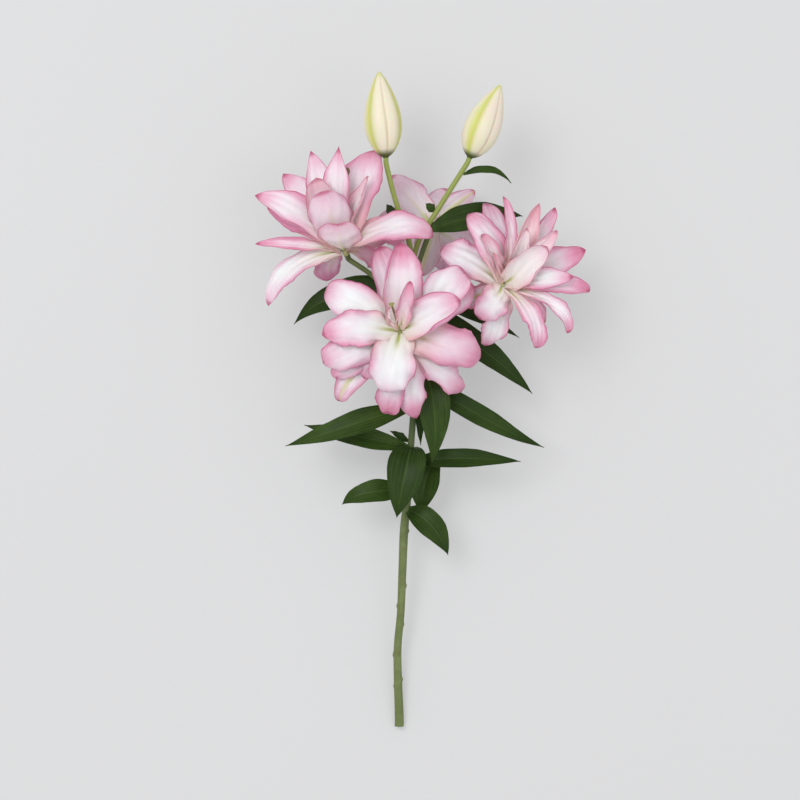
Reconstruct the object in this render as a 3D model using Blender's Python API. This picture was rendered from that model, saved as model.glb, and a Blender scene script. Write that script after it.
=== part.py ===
"""A cut double lily lying on its back: one stem with its leaves, four open blooms, their pistils and two buds.

Lengths in the tables are millimetres and angles degrees; MM turns millimetres into metres. The stem runs along
+Y from its cut end, and +Z is up from the table. Run it with blender --background --python part.py.
"""

import bmesh
import bpy
import numpy as np

MM = 0.001

# ---- The plant's measures, in millimetres and degrees -------------------------------------------------------

PETAL_THICKNESS = 0.8
LEAF_THICKNESS = 0.8
RECEPTACLE = (8.0, 8.0)           # radius and half-length of the knob that a bloom's tepals grow from
TEPAL_CLIMB = (-1.5, 5.0)         # how far above the heart the first and last tepals start
FOOT = (28.0, 394.5)              # the point of the table, from the cut end, that becomes the origin

# The main stem from its cut end to where it forks: x, y, z of its middle line, and its radius.
STEM = (
    (-1.0, 0.0, 5.2, 5.6),
    (-1.0, 14.0, 7.5, 5.4),
    (-3.0, 90.0, 21.0, 4.8),
    (1.0, 140.0, 30.0, 4.7),
    (3.0, 190.0, 38.5, 4.9),
    (5.0, 240.0, 47.0, 5.2),
    (9.0, 280.0, 54.0, 4.6),
    (13.0, 340.0, 65.0, 4.0),
    (17.0, 400.0, 76.0, 3.9),
    (18.0, 460.0, 86.0, 4.0),
    (17.0, 520.0, 92.0, 4.2),
    (15.0, 566.0, 95.0, 4.4),
)

# The pedicels, each from inside the stem towards the bloom or bud that it carries. Its last two points are
# worked out, so that it meets the bloom or bud end on.
PEDICELS = {
    "front": ((18, 436, 83), (15, 450, 100), (8, 466, 120)),
    "left": ((17, 492, 89), (-2, 520, 98), (-34, 549, 102)),
    "right": ((17, 482, 88), (48, 503, 96), (90, 522, 101)),
    "back": ((16, 526, 91), (19, 552, 93), (29, 582, 95)),
    "bud_left": ((15, 560, 95), (10, 594, 100), (-1, 623, 106), (-9, 650, 111)),
    "bud_right": ((15, 560, 95), (22, 590, 99), (40, 618, 104), (60, 650, 109)),
}
PEDICEL_END = 10.0                # length of each pedicel's straight end
PEDICEL_RADIUS = 3.2

# Blooms: where the tepals meet, the way the bloom faces, how blunt the tips are, and one row for each tepal:
# the tip from the heart, half-width, lift off the chord at the claw, droop at the tip, sideways sway,
# roll about the midrib, cupping at the claw, cupping at the tip (below zero it turns back), ruffle, and then,
# where they aren't zero, the rolls of the left and right margins, the hook of the tip and its own bluntness.
# Tepals that are turned another way than their bloom faces are given by their row.
BLOOMS = {
    "front": dict(
        heart=(0, 480, 150), facing=(0.0, 0.05, 1.0), blunt=0.7,
        tepals=(
            (-25, 102, -6, 24, 30, 10, 4, 0, 0.4, 0.3, 3.5, 0.9, 0.0, 15, 0.6),
            (-74, -88, -40, 17, 28, 40, 14, 0, 0.6, 0.5, 2.0, 0.0, 0.9, 30, 0.9),
            (76, -74, -36, 21, 36, 45, 0, 0, 0.3, -0.4, 8.0, -0.6, -0.8, 20, 0.6),
            (20, -105, -24, 26, 40, 40, 5, 0, -0.2, -0.8, 4.5, -0.4, -0.9, 10, 0.65),
            (91, 54, -12, 22, 35, 40, 0, 0, 0.4, -0.2, 3.5, 0.4, -0.6, 15, 0.6),
            (-93, 47, -4, 27, 38, 50, 5, 0, 0.4, -0.1, 3.0, -1.6, 0.4, 25, 0.6),
            (-43, -56, 0, 20, 44, 50, 0, 0, 0.2, 0.0, 3.0, -0.8, 0.0, 0),
            (-85, -55, -20, 22, 32, 60, 0, 0, 0.3, -0.9, 3.0, -0.8, -0.8, 35),
            (-93, -38, -4, 25, 38, 62, 0, 0, 0.3, -0.4, 5.0, -1.0, 0.3, 10, 0.55),
            (-14, -98, -26, 21, 42, 50, 0, 0, 0.4, 0.5, 4.5, 0.9, 0.4, 0, 0.6),
            (80, 72, 8, 27, 30, 38, 0, 0, 0.35, -0.1, 4.5, 0.6, 0.9, 25, 0.5),
            (-93, -5, 18, 24, 38, 44, 9, 0, 0.15, -0.3, 4.5, 0.3, -0.6, 10, 0.66),
            (2, 106, 20, 29, 30, 10, 0, 0, 0.7, 0.5, 4.0, 1.7, -0.5, 30, 0.75),
            (97, -32, -4, 30, 38, 66, 0, 0, 0.3, -0.5, 5.5, -0.5, -1.5, 10, 0.5),
            (-17, -76, 16, 30, 48, 65, 0, 0, 0.35, -0.4, 6.0, -0.5, -0.7, 40, 0.62),
            (71, 36, 32, 27, 44, 25, 0, 0, 0.6, 0.5, 1.5, 0.3, 2.5, 0, 0.55),
            (-13, 28, 26, 8, 20, 5, 0, 0, 1.0, 0.6, 0.5),
            (12, 57, 51, 13, 22, 5, 0, 0, 1.2, 0.9, 1.5, 1.2, 0.6, 25, 0.5),
        ),
    ),
    "left": dict(
        heart=(-66, 577, 112), facing=(-0.35, 0.68, 0.64), blunt=0.75,
        turned={14: (-0.15, 0.5, -0.7), 15: (0.1, 0.8, -0.6)},
        tepals=(
            (38, -14, -28, 15, 30, 30, 0, 0, 0.4, 0.2, 2.0),
            (-22, -35, -40, 21, 30, 20, 0, 75, 0.4, 0.2, 2.5, 0.4, 0.4, 0, 0.5),
            (-76, 97, -48, 22, 18, 15, 0, 0, 0.3, 0.4, 2.0, 0.5, -0.6, 15, 0.9),
            (73, 14, -18, 20, 22, 40, 0, 0, 0.4, 0.2, 3.0, 0.5, -0.8, 20),
            (-94, 55, -14, 21, 30, 20, 0, 0, 0.3, 0.2, 2.5, -0.7, 0.0, 10),
            (-42, 122, -30, 20, 20, 5, 0, 0, 0.6, 0.4, 2.0, 0.6, 0.3, 10, 0.95),
            (-94, -66, 2, 21, 30, 44, 14, 0, 0.3, -0.2, 1.5, -0.5, -0.7, 15, 0.75),
            (-107, 9, 4, 11, 10, 20, -4, -35, 0.6, 0.9, 1.0, 0.4, 0.5, 0, 0.8),
            (34, 127, -9, 31, 25, 22, 8, 0, 0.4, -0.2, 3.0, 0.5, -0.7, 35, 0.6),
            (-107, 67, 14, 25, 28, 22, 0, 0, 0.5, 0.2, 1.5, 0.6, 0.3, 10, 0.8),
            (108, 17, 34, 23, 45, 62, 0, 0, 0.3, -0.2, 2.0, 0.4, -1.0, 20, 0.6),
            (-8, 123, 26, 21, 22, 5, 0, 0, 0.6, 0.5, 1.5, 0.7, -0.3, 10, 1.05),
            (-34, 86, 26, 27, 15, -10, 0, 0, 0.9, 0.9, 1.5, -0.4, 1.2, 0, 0.45),
            (27, 88, 34, 14, 20, -10, 0, 0, 1.1, 1.0, 1.5, 0.9, 0.6, 10),
            (-28, 68, 52, 32, -25, -30, 0, 0, 0.8, 0.9, 1.5, 0.3, 0.3, 0, 0.42),
            (-8, 31, 58, 30, -35, -30, 0, 0, 0.8, 0.8, 1.0, 0.5, -0.5, 20, 0.45),
        ),
    ),
    "right": dict(
        heart=(122, 536, 118), facing=(0.45, 0.22, 0.86), blunt=0.7,
        tepals=(
            (-20, -74, -16, 18, 35, 40, 0, 0, 0.4, 0.0, 3.5, -0.5, -0.5, 15, 0.6),
            (53, -44, -30, 14, 30, 30, 0, 0, 0.5, 0.2, 2.0),
            (102, 43, -20, 21, 25, 10, 0, 0, 1.0, 0.9, 2.0, 0.3, 0.3, 15, 0.8),
            (-49, -23, -8, 14, 30, 40, 0, 0, 0.4, 0.2, 2.0),
            (-48, 20, -27, 19, 24, 40, 0, 0, 0.4, 0.2, 3.0, -0.5, 0.5, 10, 0.6),
            (-18, 101, -18, 19, 25, 20, 0, 0, 0.5, 0.2, 1.5, 0.5, -0.6, 20, 0.5),
            (66, 93, -6, 18, 25, -10, 0, 20, 0.6, 0.7, 2.5, 0.8, 0.6, 35, 0.7),
            (-75, 44, 0, 23, 30, 42, 0, 0, 0.4, -0.4, 3.0, -0.7, 0.6, 20, 0.55),
            (-40, 89, 12, 20, 34, 32, 0, 0, 0.3, -0.4, 1.5, -0.9, 0.4, 40, 0.5),
            (41, -78, 4, 14, 38, 62, -8, 0, 0.4, 0.2, 3.0, 0.8, -0.8, 25, 0.6),
            (80, -60, 4, 11, 30, 62, -16, 0, 0.8, 0.4, 2.0, 0.4, 0.4, 25, 0.6),
            (-28, -42, 18, 22, 40, 50, 0, 0, 0.3, -0.3, 3.0, -0.7, 0.5, 20, 0.55),
            (108, -8, 0, 15, 20, 32, -8, 20, 0.8, 0.4, 2.5, 0.5, -0.7, 30, 0.75),
            (84, 9, 22, 14, 24, 12, 0, 0, 0.8, 0.4, 2.0, 0.6, 0.0, 15, 0.65),
            (43, 98, 18, 16, 15, 5, 0, 0, 1.0, 0.9, 1.5, 0.5, 0.3, -25, 0.8),
            (66, 64, 20, 14, 20, 5, 0, 0, 0.9, 0.7, 2.0, 0.5, 0.4, 20),
            (3, 106, 20, 10, 12, 10, 8, 0, 0.9, 0.6, 1.0, 0.4, 0.4, 30, 0.7),
            (-24, 60, 26, 12, 20, 10, 0, 0, 0.9, 0.6, 1.0, 0.8, 0.4, 25, 0.45),
            (52, 43, 44, 22, 40, -20, 0, 0, 0.8, 0.8, 1.0, 0.4, 1.6, 15, 0.4),
            (29, 66, 38, 13, 20, 0, 0, 0, 1.0, 1.0, 1.0, 0.5, 0.3, 10, 0.6),
            (-12, 38, 34, 6, 15, 5, 0, 0, 1.2, 0.8, 0.5),
        ),
    ),
    "back": dict(
        heart=(38, 607, 76), facing=(0.08, 0.25, -0.97), blunt=0.6,
        tepals=(
            (-13, -58, -36, 19, 25, 25, 0, 0, 0.4, 0.2, 2.5, 0.5, -0.6, 10),
            (53, 46, -44, 16, 25, 25, 0, 0, 0.4, 0.2, 2.5, 0.5, -0.5, 10),
            (-50, 64, -56, 22, 25, 20, 0, 0, 0.3, 0.1, 2.5, 0.5, 0.5, 10),
            (57, -37, -56, 21, 25, 25, 0, 0, 0.4, 0.2, 2.5, -0.4, 0.6, 10),
            (20, 50, -96, 22, 30, 5, 0, 0, 0.3, 0.1, 1.5),
            (-46, -46, -70, 20, 35, 15, 0, 0, 0.3, 0.1, 2.0),
            (82, 4, -92, 20, 35, 10, 0, 0, 0.2, 0.0, 1.5),
            (-66, 10, -92, 21, 35, 10, 0, 0, 0.2, 0.0, 1.5),
            (18, -52, -92, 18, 35, 10, 0, 0, 0.2, 0.0, 1.5),
        ),
    ),
}


# Leaves: height up the stem, bearing round it (0 up, 90 to +X), tip, half-width, lift off the chord,
# droop at the tip, sideways sway, roll about the midrib.
LEAVES = {
    "leaf_low_right": (266, 40, (58, 211, 58), 17, 45, 25, -10, 0),
    "leaf_low_back": (270, 90, (50, 338, 44), 18, 30, 20, -8, 0),
    "leaf_low_left": (288, -60, (-70, 272, 56), 15, 35, 55, 6, 0),
    "leaf_mid_front": (342, 10, (-4, 257, 88), 24, 70, 30, 0, 0),
    "leaf_mid_right": (324, 80, (146, 324, 58), 13, 25, 20, 0, 0),
    "leaf_mid_left": (340, -95, (-116, 368, 46), 14, 25, 20, -6, 0),
    "leaf_mid_bract": (348, -95, (-12, 361, 66), 5, 25, 20, 0, 0),
    "leaf_up_left": (390, -60, (-138, 343, 76), 16, 25, 20, -7, 0),
    "leaf_up_front": (444, 85, (38, 323, 100), 22, 50, 20, -14, 0),
    "leaf_up_right": (420, 80, (174, 341, 66), 14, 30, 20, 12, 0),
    "leaf_up_back": (404, 110, (25, 344, 60), 6, 30, 20, 0, 0),
    "leaf_high_left": (532, -140, (-128, 490, 68), 18, 6, 30, 16, 0),
    "leaf_high_right": (515, 150, (160, 406, 58), 17, 8, 30, 0, 0),
    "leaf_high_low": (532, 120, (144, 474, 58), 11, 5, 20, 0, 0),
}

# Leaves and bracts on the pedicels: the pedicel, how far along it from 0 to 1, then as for a leaf.
BRACTS = {
    "leaf_top_right": ("bud_right", 0.27, 100, (148, 620, 78), 18, 12, 20, -8, 0),
    "bract_left": ("bud_left", 0.27, -80, (-16, 634, 86), 7, 25, 20, 0, 0),
    "bract_right": ("bud_right", 0.36, -70, (31, 634, 106), 6, 25, 20, 0, 0),
    "bract_bud": ("bud_right", 0.60, 60, (133, 658, 110), 5, 35, 30, -15, 20),
}

# Buds: base, tip, greatest radius.
BUDS = {
    "bud_left": ((-17, 688, 116), (-25, 791, 122), 23.0),
    "bud_right": ((83, 688, 114), (120, 775, 122), 23.0),
}

# Pistils: the bloom, direction from the heart to the stigma, length of the ovary, whole length, and the
# style's radius.
PISTILS = {
    "pistil_front": ("front", (-11, 34, 52), 25.0, 58.0, 1.3),
    "pistil_left": ("left", (3, 97, 10), 56.0, 97.0, 1.3),
}
OVARY_RADIUS = 2.2

# How finely a leaf and its stem are divided to find where the leaf's base sits.
SEAT_GRID = (49, 9)
SEAT_STEPS = 24

PETAL_CLAW = 0.14                 # half-width of a tepal's claw, of its greatest
CLAW_RISE = 1.25                  # how slowly a blade widens from its claw
TEPAL_SPREAD = 8.0                # how far out on the knob a tepal that points sideways starts
SEAT_GAP = 0.3                    # between two pieces that touch
SHORT_WAVES = (0.3, 0.2)          # a margin's short waves against its long ones: height, drawing in

# How finely each piece is divided.
PETAL_GRID = (7, 4)
LEAF_GRID = (9, 5)
STEM_STEPS = 2
PEDICEL_STEPS = 2
STEM_SIDES = 12
PEDICEL_SIDES = 8
PISTIL_SIDES = 6
BUD_GRID = (10, 15)
BUD_RIBS = 3
SOLVER = "MANIFOLD"
KNOB_LATITUDE = 1.1               # where an ellipsoid is cut off flat at both ends, in radians
BUD_GROOVE = 0.07                 # how deep the seams lie between the buds' three segments, of the radius

# Leaf scars on the bare part of the stem: height up it, and bearing round it.
SCARS = (
    (22, 15), (50, -60), (57, 75), (88, -90), (93, 10), (126, 60), (139, -15), (148, -75),
    (173, 85), (183, 5), (220, -10), (240, 80),
)
SCAR_SIZE = (2.6, 1.1, 1.3)       # half-width round the stem, half-height along it, half-depth

# Colour and roughness of each finish.
FINISHES = {
    "petal": ((0.90, 0.70, 0.78), 0.55),
    "leaf": ((0.05, 0.13, 0.05), 0.40),
    "stem": ((0.26, 0.38, 0.14), 0.45),
    "bud": ((0.85, 0.85, 0.65), 0.50),
    "pistil": ((0.35, 0.42, 0.12), 0.50),
}


# ---- Shapes worked out from the measures --------------------------------------------------------------------


def unit(vector):
    """The vector at length one."""
    vector = np.asarray(vector, float)
    return vector / np.linalg.norm(vector)


def smooth_path(points, steps):
    """A Catmull-Rom curve through every point, with the given number of steps between two of them."""
    points = np.asarray(points, float)
    padded = np.vstack([2 * points[0] - points[1], points, 2 * points[-1] - points[-2]])
    place = np.linspace(0, len(points) - 1, (len(points) - 1) * steps + 1)
    index = np.minimum(place.astype(int), len(points) - 2)
    t = (place - index)[:, None]
    a, b, c, d = (padded[index + k] for k in range(4))
    return 0.5 * (2 * b + (c - a) * t + (2 * a - 5 * b + 4 * c - d) * t**2 + (3 * b - a - 3 * c + d) * t**3)


def frames_along(path):
    """Two unit vectors across the path at each point, square to it: one as near to +X as it allows."""
    tangent = np.gradient(path, axis=0, edge_order=2)
    tangent /= np.linalg.norm(tangent, axis=1)[:, None]
    across = np.array([1.0, 0.0, 0.0]) - tangent * tangent[:, :1]
    across /= np.linalg.norm(across, axis=1)[:, None]
    return across, np.cross(across, tangent)


def taper(s, claw, widest, blunt):
    """A blade's half-width from claw to tip, one at its widest: a rounded sine rise from the claw's share
    of it, times the fall of a superellipse whose power says how blunt the tip is."""
    rise = np.sin(np.pi / 2 * np.minimum(1, s / widest)) ** CLAW_RISE
    fall = np.clip((s - widest) / (1 - widest), 0, 1)
    return (claw + (1 - claw) * rise) * (1 - fall**2) ** blunt


def midrib(base, tip, facing, lift, droop, sway, hook, s):
    """A cubic curve from base to tip. It leaves the base lifted off the chord towards the facing side,
    droops at the tip, and its two middle handles are swayed sideways. Its last fifth is bent back by the
    hook. Gives points, normals and sideways vectors."""
    base, tip = np.asarray(base, float), np.asarray(tip, float)
    along = unit(tip - base)
    over = unit(np.asarray(facing, float) - np.dot(facing, along) * along)
    side = np.cross(along, over)
    reach = 0.38 * np.linalg.norm(tip - base)
    lift, droop = np.radians(lift), np.radians(droop)
    first = base + reach * (np.cos(lift) * along + np.sin(lift) * over) + 0.6 * sway * side
    second = tip - reach * (np.cos(droop) * along - np.sin(droop) * over) + sway * side
    t = s[:, None]
    points = (1 - t) ** 3 * base + 3 * (1 - t) ** 2 * t * first + 3 * (1 - t) * t**2 * second + t**3 * tip
    tangents = 3 * (1 - t) ** 2 * (first - base) + 6 * (1 - t) * t * (second - first)
    tangents += 3 * t**2 * (tip - second)
    tangents /= np.linalg.norm(tangents, axis=1)[:, None]
    normals = over - tangents * (tangents @ over)[:, None]
    normals /= np.linalg.norm(normals, axis=1)[:, None]
    sides = np.cross(tangents, normals)
    bent = np.radians(hook) * np.clip((t - 0.8) / 0.2, 0, 1) ** 1.5
    hooked = np.cos(bent) * tangents - np.sin(bent) * normals
    drift = np.linalg.norm(np.diff(points, axis=0), axis=1)[:, None] * (hooked - tangents)[1:]
    points[1:] += np.cumsum(drift, axis=0)
    return points, np.cross(sides, hooked), sides


def half_section(u, bend, fold, roll):
    """Half of each row across the midrib, at the shares u of the half-width: its slope angle starts at the
    fold, grows by the bend, and gains the roll over its outer half. The angle's cosine and sine are summed
    outwards, which gives the places across and above the midrib."""
    fine = np.linspace(0, 1, 61)
    slope = fold + bend * fine + roll * np.clip((fine - 0.4) / 0.6, 0, 1) ** 1.5
    steps = np.stack([np.cos(slope), np.sin(slope)])
    steps = 0.5 * (steps[..., 1:] + steps[..., :-1]) * (fine[1] - fine[0])
    sums = np.concatenate([np.zeros_like(steps[..., :1]), np.cumsum(steps, axis=2)], axis=2)
    place = u * (len(fine) - 1)
    index = np.minimum(place.astype(int), len(fine) - 2)
    share = place - index
    return sums[..., index] * (1 - share) + sums[..., index + 1] * share


def blade(base, tip, facing, half_width, lift, droop, sway=0.0, roll=0.0, cup=0.5, curl=0.3, ruffle=0.0,
          left=0.0, right=0.0, hook=0.0, waves=2.6, phase=0.0, fold=0.0, claw=0.14, widest=0.55, blunt=0.9,
          stations=9, columns=5):
    """The middle surface of a petal or leaf, as a grid of points. Across the midrib each row is an arc, whose
    bend goes from cup to curl along the blade, with its left and right margins rolled. A ruffle lifts the
    margins in long waves with short ones on them, and draws them in where they are steep. The roll turns the
    rows about the midrib as they go out."""
    s = np.linspace(0, 1, stations)
    v = np.asarray(columns, float) if np.ndim(columns) else np.linspace(-1, 1, columns)
    points, normals, sides = midrib(base, tip, facing, lift, droop, sway, hook, s)
    turn = np.radians(roll) * s[:, None] ** 0.7
    normals, sides = (np.cos(turn) * normals + np.sin(turn) * sides,
                      np.cos(turn) * sides - np.sin(turn) * normals)
    s = s[:, None]
    width = np.maximum(half_width * taper(s, claw, widest, blunt), 0.45)
    bend = cup + (curl - cup) * s
    rolled = np.minimum(1, s / 0.6) ** 1.5
    left_across, left_over = half_section(np.abs(v), bend, fold, left * rolled)
    right_across, right_over = half_section(np.abs(v), bend, fold, right * rolled)
    lateral = width * np.where(v < 0, -left_across, right_across)
    height = width * np.where(v < 0, left_over, right_over)
    swing = ruffle * np.sin(np.pi * s**0.8) ** 0.6
    long_wave = 2 * np.pi * (waves * s + phase + 0.23 * np.sign(v))
    short_wave = 2.7 * long_wave + 2.5 * np.sin(9 * s)
    out = np.abs(v)
    height = height + swing * (out**2.4 * np.sin(long_wave) + SHORT_WAVES[0] * out**5 * np.sin(short_wave))
    drawn_in = out**3 * (1 + np.cos(long_wave + 0.6)) + SHORT_WAVES[1] * out**6 * (1 + np.cos(short_wave))
    lateral = lateral - 0.3 * np.sign(v) * swing * drawn_in
    return points[:, None] + lateral[..., None] * sides[:, None] + height[..., None] * normals[:, None]


def tepal_base(bloom, number):
    """Where a tepal starts: on the bloom's knob, on the side that its tip lies, and further up the knob the
    later it comes in the bloom's rows."""
    axis = unit(bloom["facing"])
    tip = np.array(bloom["tepals"][number][:3], float)
    outward = tip - np.dot(tip, axis) * axis
    outward *= TEPAL_SPREAD / (TEPAL_SPREAD + np.linalg.norm(outward))
    climb = np.interp(number, (0, len(bloom["tepals"]) - 1), TEPAL_CLIMB)
    return np.array(bloom["heart"], float) + outward + climb * axis


def tepal_blade(bloom, number, stations, columns):
    """One tepal of a bloom, from its row of measures. Its ruffle's waves start by its number."""
    tip, extra = np.array(bloom["tepals"][number][:3], float), bloom["tepals"][number][3:]
    half_width, lift, droop, sway, roll, cup, curl, ruffle, *turned = extra
    left, right, hook, blunt = (*turned, *(0, 0, 0, bloom["blunt"])[len(turned):])
    facing = bloom.get("turned", {}).get(number, bloom["facing"])
    sheet = blade(tepal_base(bloom, number), np.add(bloom["heart"], tip), facing, half_width, lift, droop,
                  sway, roll, cup, curl, ruffle, left, right, hook, waves=2.2 + 0.35 * (number % 4),
                  phase=0.37 * number, claw=PETAL_CLAW, blunt=blunt, stations=stations, columns=columns)
    return above_table(sheet, PETAL_THICKNESS)


def above_table(sheet, thickness):
    """The sheet with what would sink into the table laid flat on it."""
    sheet[..., 2] = np.maximum(sheet[..., 2], 0.4 * thickness)
    return sheet


def leaf_blade(base, tip, facing, half_width, lift, droop, sway, roll, stations, columns):
    """A lance-shaped leaf, lightly folded along its midrib."""
    return blade(base, tip, facing, half_width, lift, droop, sway, roll, cup=0.35, curl=0.25, ruffle=0.8,
                 fold=0.12, claw=0.3, widest=0.38, blunt=1.15, stations=stations, columns=columns)


def leaf_on(path, radii, place, bearing, measures, stations, columns):
    """A leaf whose base edge lies a seat's gap off the stem or pedicel. It grows from the given place along
    the path, counted in its points, on the side that the bearing gives: 0 is up and 90 towards +X."""
    index = np.arange(len(path))
    centre = np.array([np.interp(place, index, path[:, k]) for k in range(3)])
    across, over = (directions[int(round(place))] for directions in frames_along(path))
    out = np.sin(np.radians(bearing)) * across + np.cos(np.radians(bearing)) * over
    tip, half_width, lift, droop, sway, roll = measures
    base = centre + out * np.interp(place, index, radii)
    measures = (tip, (0.0, 0.3, 1.0), half_width, lift, droop, sway, roll)
    for _ in range(8):
        near = leaf_blade(base, *measures, *SEAT_GRID).reshape(-1, 1, 3)
        apart = (np.linalg.norm(near - path[None], axis=2) - radii).min()
        base = base + out * (SEAT_GAP + 0.5 * LEAF_THICKNESS - apart)
    return above_table(leaf_blade(base, *measures, stations, columns), LEAF_THICKNESS)


def all_leaves(stations, columns):
    """Every leaf and bract by name, as the middle surface of its blade."""
    path, radii = stem_path()
    sheets = {}
    for name, (height, bearing, *measures) in LEAVES.items():
        place = np.interp(height, path[:, 1], np.arange(len(path)))
        sheets[name] = leaf_on(path, radii, place, bearing, measures, stations, columns)
    for name, (pedicel, share, bearing, *measures) in BRACTS.items():
        path, radii = pedicel_path(pedicel)
        sheets[name] = leaf_on(path, radii, share * (len(path) - 1), bearing, measures, stations, columns)
    return sheets


def stem_path(steps=SEAT_STEPS):
    """The main stem's middle line and its radius there."""
    rows = smooth_path(STEM, steps)
    return rows[:, :3], rows[:, 3]


def pedicel_path(name, steps=SEAT_STEPS):
    """A pedicel's middle line and its radius. It ends two seat gaps short of the bloom's knob or the bud."""
    if name in BLOOMS:
        axis = unit(BLOOMS[name]["facing"])
        end = np.array(BLOOMS[name]["heart"], float) - (RECEPTACLE[1] + 2 * SEAT_GAP) * axis
    else:
        base, tip, _ = BUDS[name]
        axis = unit(np.subtract(tip, base))
        end = np.array(base, float) - 2 * SEAT_GAP * axis
    straight = [end - share * PEDICEL_END * axis for share in (1.0, 0.5, 0.0)]
    path = smooth_path([*PEDICELS[name], *straight], steps)
    return path, np.full(len(path), PEDICEL_RADIUS)


def bud_profile(s):
    """A bud's radius along its length, one at its widest: round at the base, long and pointed at the tip."""
    return np.maximum(np.sin(np.pi * s**0.85) ** 0.72 * (1.12 - 0.28 * s), 0.16 * (1 - s))


# ---- Closed solids ------------------------------------------------------------------------------------------


def new_object(name, points, faces, finish):
    """An object from points in the plant's millimetres, moved to the part's own origin."""
    mesh = bpy.data.meshes.new(name)
    points = (np.asarray(points, float).reshape(-1, 3) - (*FOOT, 0.0)) * MM
    mesh.from_pydata(points.tolist(), [], [list(map(int, face)) for face in faces])
    mesh.update()
    piece = bpy.data.objects.new(name, mesh)
    piece.data.materials.append(bpy.data.materials[finish])
    bpy.context.scene.collection.objects.link(piece)
    return piece


def sheet_normals(sheet):
    """The unit normal at each point of a grid, from the differences along its rows and columns."""
    normals = np.cross(np.gradient(sheet, axis=0), np.gradient(sheet, axis=1))
    return normals / np.linalg.norm(normals, axis=2)[..., None]


def sheet_triangles(rows, columns):
    """Two triangles for each square of a grid, with diagonals that mirror each other about the midrib."""
    i, j = np.meshgrid(np.arange(rows - 1), np.arange(columns - 1), indexing="ij")
    a = (i * columns + j).ravel()
    b, c, d = a + 1, a + columns + 1, a + columns
    left = (j < (columns - 1) / 2).ravel()
    first = np.where(left[:, None], np.stack([a, b, c], 1), np.stack([a, b, d], 1))
    second = np.where(left[:, None], np.stack([a, c, d], 1), np.stack([b, c, d], 1))
    return np.concatenate([first, second])


def solid_blade(name, sheet, thickness, finish):
    """A thin closed solid about a middle surface: both faces are split alike, and a rim joins them."""
    rows, columns = sheet.shape[:2]
    offset = 0.5 * thickness * sheet_normals(sheet)
    points = np.concatenate([(sheet + offset).reshape(-1, 3), (sheet - offset).reshape(-1, 3)])
    points[:, 2] = np.maximum(points[:, 2], 0.0)
    face = sheet_triangles(rows, columns)
    under = face + rows * columns
    edge = np.concatenate([
        np.arange(columns),
        np.arange(1, rows) * columns + columns - 1,
        rows * columns - 1 - np.arange(1, columns),
        (rows - 1 - np.arange(1, rows)) * columns,
    ])
    here, ahead = edge[:-1], edge[1:]
    below, ahead_below = here + rows * columns, ahead + rows * columns
    rim = np.concatenate([np.stack([here, below, ahead_below], 1), np.stack([here, ahead_below, ahead], 1)])
    return new_object(name, points, np.concatenate([face[:, ::-1], under, rim[:, ::-1]]), finish)


def solid_rings(name, rings, finish):
    """A closed solid from rings of points, each joined to the next, with a flat cap on both ends."""
    rows, sides = rings.shape[:2]
    faces = []
    for row in range(rows - 1):
        for side in range(sides):
            a, b = row * sides + side, row * sides + (side + 1) % sides
            faces.append((a, b, b + sides))
            faces.append((a, b + sides, a + sides))
    faces.append(tuple(range(sides))[::-1])
    faces.append(tuple(range((rows - 1) * sides, rows * sides)))
    return new_object(name, rings, faces, finish)


def round_rings(path, radii, sides):
    """Circles square to a path, one at each point. They turn so that a solid made of them faces outwards."""
    across, over = frames_along(path)
    angle = np.linspace(0, 2 * np.pi, sides, endpoint=False)[None, :, None]
    spokes = np.cos(angle) * over[:, None] + np.sin(angle) * across[:, None]
    rings = path[:, None] + np.asarray(radii, float).reshape(-1, 1, 1) * spokes
    rings[..., 2] = np.maximum(rings[..., 2], 0.0)
    return rings


def solid_knob(name, centre, axis, half_sizes, sides, rows, finish):
    """An ellipsoid as rings about its axis: half-sizes across, across and along."""
    axis = unit(axis)
    across = unit(np.cross(axis, (0.0, 0.6, 0.8) if abs(axis[0]) > 0.7 else (1.0, 0.0, 0.0)))
    over = np.cross(axis, across)
    latitude = np.linspace(-1, 1, rows)[:, None, None] * KNOB_LATITUDE
    angle = np.linspace(0, 2 * np.pi, sides, endpoint=False)[None, :, None]
    spokes = np.cos(angle) * half_sizes[0] * across + np.sin(angle) * half_sizes[1] * over
    rise = np.sin(latitude) / np.sin(KNOB_LATITUDE) * half_sizes[2] * axis
    return solid_rings(name, np.asarray(centre, float) + np.cos(latitude) * spokes + rise, finish)


def largest_island(mesh):
    """Keeps the mesh's largest connected island, so no loose scrap or sealed hollow is left by a union."""
    ends = np.empty(2 * len(mesh.edges), int)
    mesh.edges.foreach_get("vertices", ends)
    ends = ends.reshape(-1, 2)
    label = np.arange(len(mesh.vertices))
    while True:
        lowest = label.copy()
        np.minimum.at(lowest, ends[:, 0], label[ends[:, 1]])
        np.minimum.at(lowest, ends[:, 1], label[ends[:, 0]])
        lowest = lowest[lowest]
        if (lowest == label).all():
            break
        label = lowest
    return label == np.bincount(label).argmax()


def fuse(name, pieces):
    """One closed body from overlapping solids: a Boolean union on a collection, applied, whose other objects
    are then removed."""
    body, *others = pieces
    joined = bpy.data.collections.new(name)
    bpy.context.scene.collection.children.link(joined)
    for piece in others:
        bpy.context.scene.collection.objects.unlink(piece)
        joined.objects.link(piece)
    union = body.modifiers.new("union", "BOOLEAN")
    union.operation = "UNION"
    union.operand_type = "COLLECTION"
    union.collection = joined
    union.solver = SOLVER
    bpy.context.view_layer.update()
    mesh = bpy.data.meshes.new_from_object(body.evaluated_get(bpy.context.evaluated_depsgraph_get()))
    body.modifiers.clear()
    body.data = mesh
    body.name = name
    for piece in others:
        bpy.data.objects.remove(piece)
    bpy.data.collections.remove(joined)
    drop_loose(mesh)
    return body


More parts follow.
